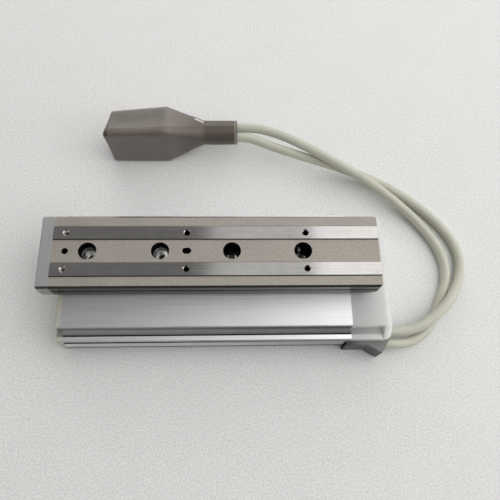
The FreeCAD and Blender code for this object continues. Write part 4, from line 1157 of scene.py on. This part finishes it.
    def tone(self, mesh: bpy.types.Mesh, count: int) -> None:
        """Give the tip, lip, ridge, front and the fold's painted highlight their own finishes.

        Args:
            mesh: The boot's mesh, its faces in order round each ring.
            count: Faces in one ring.
        """
        tip = at(self.left - self.tip_out, self.front, self.end_high)
        lip_start, lip_end = (len(mesh.polygons) - bands * count for bands in self.lip_bands)
        lip = range(lip_start, lip_end)
        quarter = self.corner_steps + 1 + self.side_steps
        ridge = range(quarter - 1, quarter - 1 + self.ridge_faces)
        front = range(ridge.stop, 3 * quarter - self.side_steps)
        fold_span = (at(self.fold_start, 0.0, 0.0).x, at(self.neck_start, 0.0, 0.0).x)
        # Painted light and shade on the ridge and front, painted highlight on the fold
        tests: tuple[tuple[Finish, PolygonTest], ...] = (
            (BOOT_TIP, lambda face: (face.center - tip).length < self.tip_reach),
            (BOOT_LIP, lambda face: face.index in lip),
            (BOOT_RIDGE, lambda face: face.index % count in ridge),
            (BOOT_FRONT, lambda face: face.index % count in front),
            (BOOT_FOLD_HIGHLIGHT, lambda face: face.index % count == self.fold_face
             and fold_span[0] < face.center.x < fold_span[1]))
        numbered = [(add_finish(mesh, finish), test) for finish, test in tests]
        for face in mesh.polygons:
            face.material_index = next((number for number, test in numbered if test(face)), 0)


@dataclass(frozen=True)
class Cable:
    """One round cable on a smooth line through its route.

    Attributes:
        name: Name of the piece.
        node: CAD node that it stands for.
        length: Length of the cable.
        route: Control points in the bench frame, from the grommet to the boot's neck.
        diameter: Outer diameter.
        round_steps: Steps in a quarter of its section.
        line_steps: Steps of the line between two control points.
    """

    name: str
    node: str
    length: float
    route: tuple[Point, ...]
    diameter: float = 5.0 * MM
    round_steps: int = 7
    line_steps: int = 10

    def curve(self) -> bpy.types.Object:
        """Draw the cable.

        Returns:
            The cable as a curve object.
        """
        data = bpy.data.curves.new(self.name, "CURVE")
        data.dimensions = "3D"
        data.bevel_depth = self.diameter / 2
        data.bevel_resolution = self.round_steps
        data.resolution_u = self.line_steps
        data.use_fill_caps = True
        spline = data.splines.new("NURBS")
        spline.points.add(len(self.route) - 1)
        for control, place in zip(spline.points, self.route):
            control.co = (*at(*place), 1.0)
        spline.order_u = 3
        spline.use_endpoint_u = True
        data.materials.append(JACKET_VINYL.material())
        cord = bpy.data.objects.new(self.name, data)
        bpy.context.scene.collection.objects.link(cord)
        log.info("%s: %d points", self.name, len(self.route))
        return cord

    def build(self, ends: list[bpy.types.Object]) -> None:
        """Draw the cable, hang it on the base and hide the CAD node that it stands for.

        Args:
            ends: The pieces on its far end; not used.
        """
        cord = self.curve()
        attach(cord, "base")
        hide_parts(self.node)


@dataclass
class CableUnit(Unit):
    """The two free cables from the grommet to their connector, and the boot over it.

    Attributes:
        rear: The cable that leaves the grommet at the rear.
        front: The cable that leaves it at the front.
    """

    rear: Cable = Cable("rear_cord", "rear_cable", 0.2175, (
        (0.1580, -0.0162, 0.0076), (0.1644, -0.0162, 0.0076), (0.1710, -0.0159, 0.0077),
        (0.1774, -0.0142, 0.0079), (0.1834, -0.0109, 0.0081), (0.1894, -0.0064, 0.0081),
        (0.1956, -0.0003, 0.0074), (0.2014, 0.0074, 0.0050), (0.2056, 0.0162, 0.0030),
        (0.2069, 0.0258, 0.0026), (0.2042, 0.0354, 0.0026), (0.1978, 0.0454, 0.0026),
        (0.1876, 0.0560, 0.0026), (0.1740, 0.0662, 0.0030), (0.1578, 0.0742, 0.0042),
        (0.1412, 0.0795, 0.0062), (0.1264, 0.0833, 0.0082), (0.1142, 0.0866, 0.0098),
        (0.1042, 0.0898, 0.0110), (0.0966, 0.0926, 0.0119), (0.0918, 0.09375, 0.0122),
        (0.0869, 0.09375, 0.0122)))
    front: Cable = Cable("front_cord", "front_cable", 0.2102, (
        (0.1580, -0.0219, 0.0062), (0.1638, -0.0219, 0.0062), (0.1694, -0.0217, 0.0053),
        (0.1748, -0.0203, 0.0046), (0.1797, -0.0177, 0.0039), (0.1839, -0.0140, 0.0032),
        (0.1874, -0.0091, 0.0027), (0.1908, -0.0031, 0.0026), (0.1944, 0.0041, 0.0026),
        (0.1972, 0.0117, 0.0026), (0.1983, 0.0198, 0.0026), (0.1968, 0.0282, 0.0026),
        (0.1930, 0.0368, 0.0026), (0.1858, 0.0468, 0.0031), (0.1744, 0.0578, 0.0052),
        (0.1600, 0.0681, 0.0088), (0.1444, 0.0766, 0.0116), (0.1294, 0.0852, 0.0130),
        (0.1154, 0.0929, 0.0136), (0.1024, 0.0980, 0.0136), (0.0946, 0.09905, 0.0136),
        (0.0869, 0.09905, 0.0136)))

    def dress(self) -> None:
        """Give the connector its finish."""
        paint("cable_connector", PLUG_RESIN)

    def build(self) -> None:
        """Make the boot and the two cables."""
        boot = ConnectorBoot().build()
        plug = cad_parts["cable_connector"]
        for cable in (self.rear, self.front):
            cable.build([boot, plug])


def stand(across: Vector, up: Vector, back: Vector, place: Vector) -> Matrix:
    """The matrix of something that stands at a place and looks along -back."""
    return Matrix.Translation(place) @ Matrix((across, up, back)).transposed().to_4x4()


def area_lamp(name: str, wide: float, tall: float, radiance: float) -> bpy.types.Object:
    """Make a rectangular light.

    Args:
        name: Name of the light.
        wide: Its width.
        tall: Its height.
        radiance: Brightness of its face.

    Returns:
        The light, linked to the scene, at the origin and facing down.
    """
    data = bpy.data.lights.new(name, "AREA")
    data.shape = "RECTANGLE"
    data.size = wide
    data.size_y = tall
    data.energy = radiance * math.pi * wide * tall
    lamp = bpy.data.objects.new(name, data)
    bpy.context.scene.collection.objects.link(lamp)
    return lamp


@dataclass(frozen=True)
class SideLamp:
    """An upright rectangular light that faces the object.

    Attributes:
        name: Name of the light.
        turn: Degrees from +X towards +Y, seen from the object.
        rise: Degrees above the floor.
        away: Distance from the object.
        wide: Width of the light.
        tall: Height of the light.
        radiance: Brightness of its face.
    """

    name: str
    turn: float
    rise: float
    away: float
    wide: float
    tall: float
    radiance: float

    def build(self, aim: Vector) -> None:
        """Stand the light up so that it faces a point.

        Args:
            aim: The point.
        """
        turn = math.radians(self.turn)
        rise = math.radians(self.rise)
        back = Vector((math.cos(turn) * math.cos(rise), math.sin(turn) * math.cos(rise), math.sin(rise)))
        across = Vector((-math.sin(turn), math.cos(turn), 0.0))
        lamp = area_lamp(self.name, self.wide, self.tall, self.radiance)
        lamp.matrix_world = stand(across, back.cross(across), back, aim + back * self.away)


SIDE_LAMPS = (
    SideLamp("rear", turn=92.0, rise=27.0, away=0.7, wide=0.8, tall=0.3, radiance=1.2),
    SideLamp("side", turn=8.0, rise=16.0, away=0.8, wide=0.36, tall=0.2, radiance=3.5),
)


@dataclass(frozen=True)
class SkyPatch:
    """A darker round patch of the sky.

    Attributes:
        way: Direction of its middle.
        inner: Degrees from the middle within which it is darkest.
        outer: Degrees from the middle where it ends.
        level: Share of the sky's light that is left at its middle.
    """

    way: Point
    inner: float
    outer: float
    level: float

    def factor(self, pen: NodePen, way: Socket) -> Socket:
        """Share of the sky's light that is left in each direction.

        Args:
            pen: Pen on the sky's tree.
            way: The direction.

        Returns:
            Socket with the share.
        """
        middle = Vector(self.way).normalized()
        near = pen.add("VectorMath", {0: way, 1: middle}, operation="DOT_PRODUCT").outputs["Value"]
        edge = math.cos(math.radians(self.outer))
        core = math.cos(math.radians(self.inner))
        return pen.span(near, (edge, core), (1.0, self.level), smooth=True)


SKY_PATCHES = (
    SkyPatch(way=(-0.643, 0.269, 0.717), inner=36.9, outer=39.7, level=0.28),
    SkyPatch(way=(0.0, -0.94, 0.34), inner=26.0, outer=46.0, level=0.06),
)


@dataclass
class Studio:
    """Pale floor, a broad ceiling light on the right and a camera at the photograph's place.

    Attributes:
        focal_pixels: Focal length of the photograph in pixels.
        frame_pixels: Width of the photograph in pixels.
        sensor: Width of the camera's sensor in millimetres.
        camera_place: Place of the camera in the bench frame.
        pitch: Degrees by which the camera looks down.
        yaw: Degrees by which it is turned to the right.
        roll: Degrees by which it is tilted.
        near_clip: Nearest distance that it sees.
        floor_half: Half of the floor's width.
        sky: Brightness of the sky overhead.
        horizon_share: Share of that brightness at the horizon.
        horizon_end: Height of a direction at which the sky is fully bright.
        lamp_left: Left edge of the ceiling light in the row frame.
        lamp_wide: Its width along X.
        lamp_front: Its front edge in the row frame.
        lamp_long: Its length along Y.
        lamp_high: Its height over the floor.
        lamp_radiance: Brightness of its face.
    """

    focal_pixels: float = 540.0
    frame_pixels: float = 500.0
    sensor: float = 36.0
    camera_place: Point = (81.087 * MM, -71.822 * MM, 273.461 * MM)
    pitch: float = 69.269
    yaw: float = 6.936
    roll: float = 6.35
    near_clip: float = 10.0 * MM
    floor_half: float = 4.0
    sky: float = 0.96
    horizon_share: float = 0.42
    horizon_end: float = 0.6
    lamp_left: float = 0.205
    lamp_wide: float = 2.4
    lamp_front: float = -0.9
    lamp_long: float = 1.5
    lamp_high: float = 0.95
    lamp_radiance: float = 0.92

    def build(self) -> None:
        """Make the floor, the light and the camera."""
        self.floor()
        self.light()
        self.key_lamp()
        for lamp in SIDE_LAMPS:
            lamp.build(at(*self.camera_place).xy.to_3d())
        self.camera()
        bpy.context.scene.view_settings.view_transform = "Standard"

    def floor(self) -> None:
        """A wide pale floor under the object."""
        signs = ((-1, -1), (1, -1), (1, 1), (-1, 1))
        corners = [Vector((x * self.floor_half, y * self.floor_half, 0.0)) for x, y in signs]
        add_mesh("floor", corners, [range(len(corners))], FLOOR_PAPER)

    def light(self) -> None:
        """A sky that darkens towards the horizon, with its darker patches."""
        world = bpy.data.worlds.new("studio")
        bpy.context.scene.world = world
        world.use_nodes = True
        pen = NodePen(world.node_tree)
        way = pen.add("TexCoord").outputs["Generated"]
        height = pen.along(way, Axis.Z)
        strength = pen.span(height, (0.0, self.horizon_end), (self.sky * self.horizon_share, self.sky),
                            smooth=True)
        for patch in SKY_PATCHES:
            strength = pen.math("MULTIPLY", strength, patch.factor(pen, way))
        sky = pen.add("Background", {"Color": (1.0, 1.0, 1.0, 1.0), "Strength": strength})
        pen.add("OutputWorld", {"Surface": sky.outputs[0]})

    def key_lamp(self) -> None:
        """A flat ceiling light on the right that faces down, its left edge along Y."""
        lamp = area_lamp("key", self.lamp_wide, self.lamp_long, self.lamp_radiance)
        lamp.location = (self.lamp_left + self.lamp_wide / 2, self.lamp_front + self.lamp_long / 2,
                         self.lamp_high)

    def camera(self) -> None:
        """The photograph's camera, from its focal length, angles and place."""
        data = bpy.data.cameras.new("camera")
        data.sensor_width = self.sensor
        data.lens = self.sensor * self.focal_pixels / self.frame_pixels
        data.clip_start = self.near_clip
        pitch, yaw, roll = (math.radians(angle) for angle in (self.pitch, self.yaw, self.roll))
        level = Vector((math.cos(yaw), -math.sin(yaw), 0.0))
        forward = Vector((math.sin(yaw) * math.cos(pitch), math.cos(yaw) * math.cos(pitch),
                          -math.sin(pitch)))
        upright = level.cross(forward)
        right = math.cos(roll) * level + math.sin(roll) * upright
        up = math.cos(roll) * upright - math.sin(roll) * level
        camera = bpy.data.objects.new("camera", data)
        camera.matrix_world = stand(right, up, -forward, at(*self.camera_place))
        bpy.context.scene.collection.objects.link(camera)
        bpy.context.scene.camera = camera


def main() -> None:
    """Build the studio and then the slide table, one unit after another."""
    Studio().build()
    for unit in (CableUnit(), TableUnit(), GuideUnit(), BodyUnit(), DriveUnit()):
        unit.dress()
        unit.build()


if __name__ == "__main__":
    main()
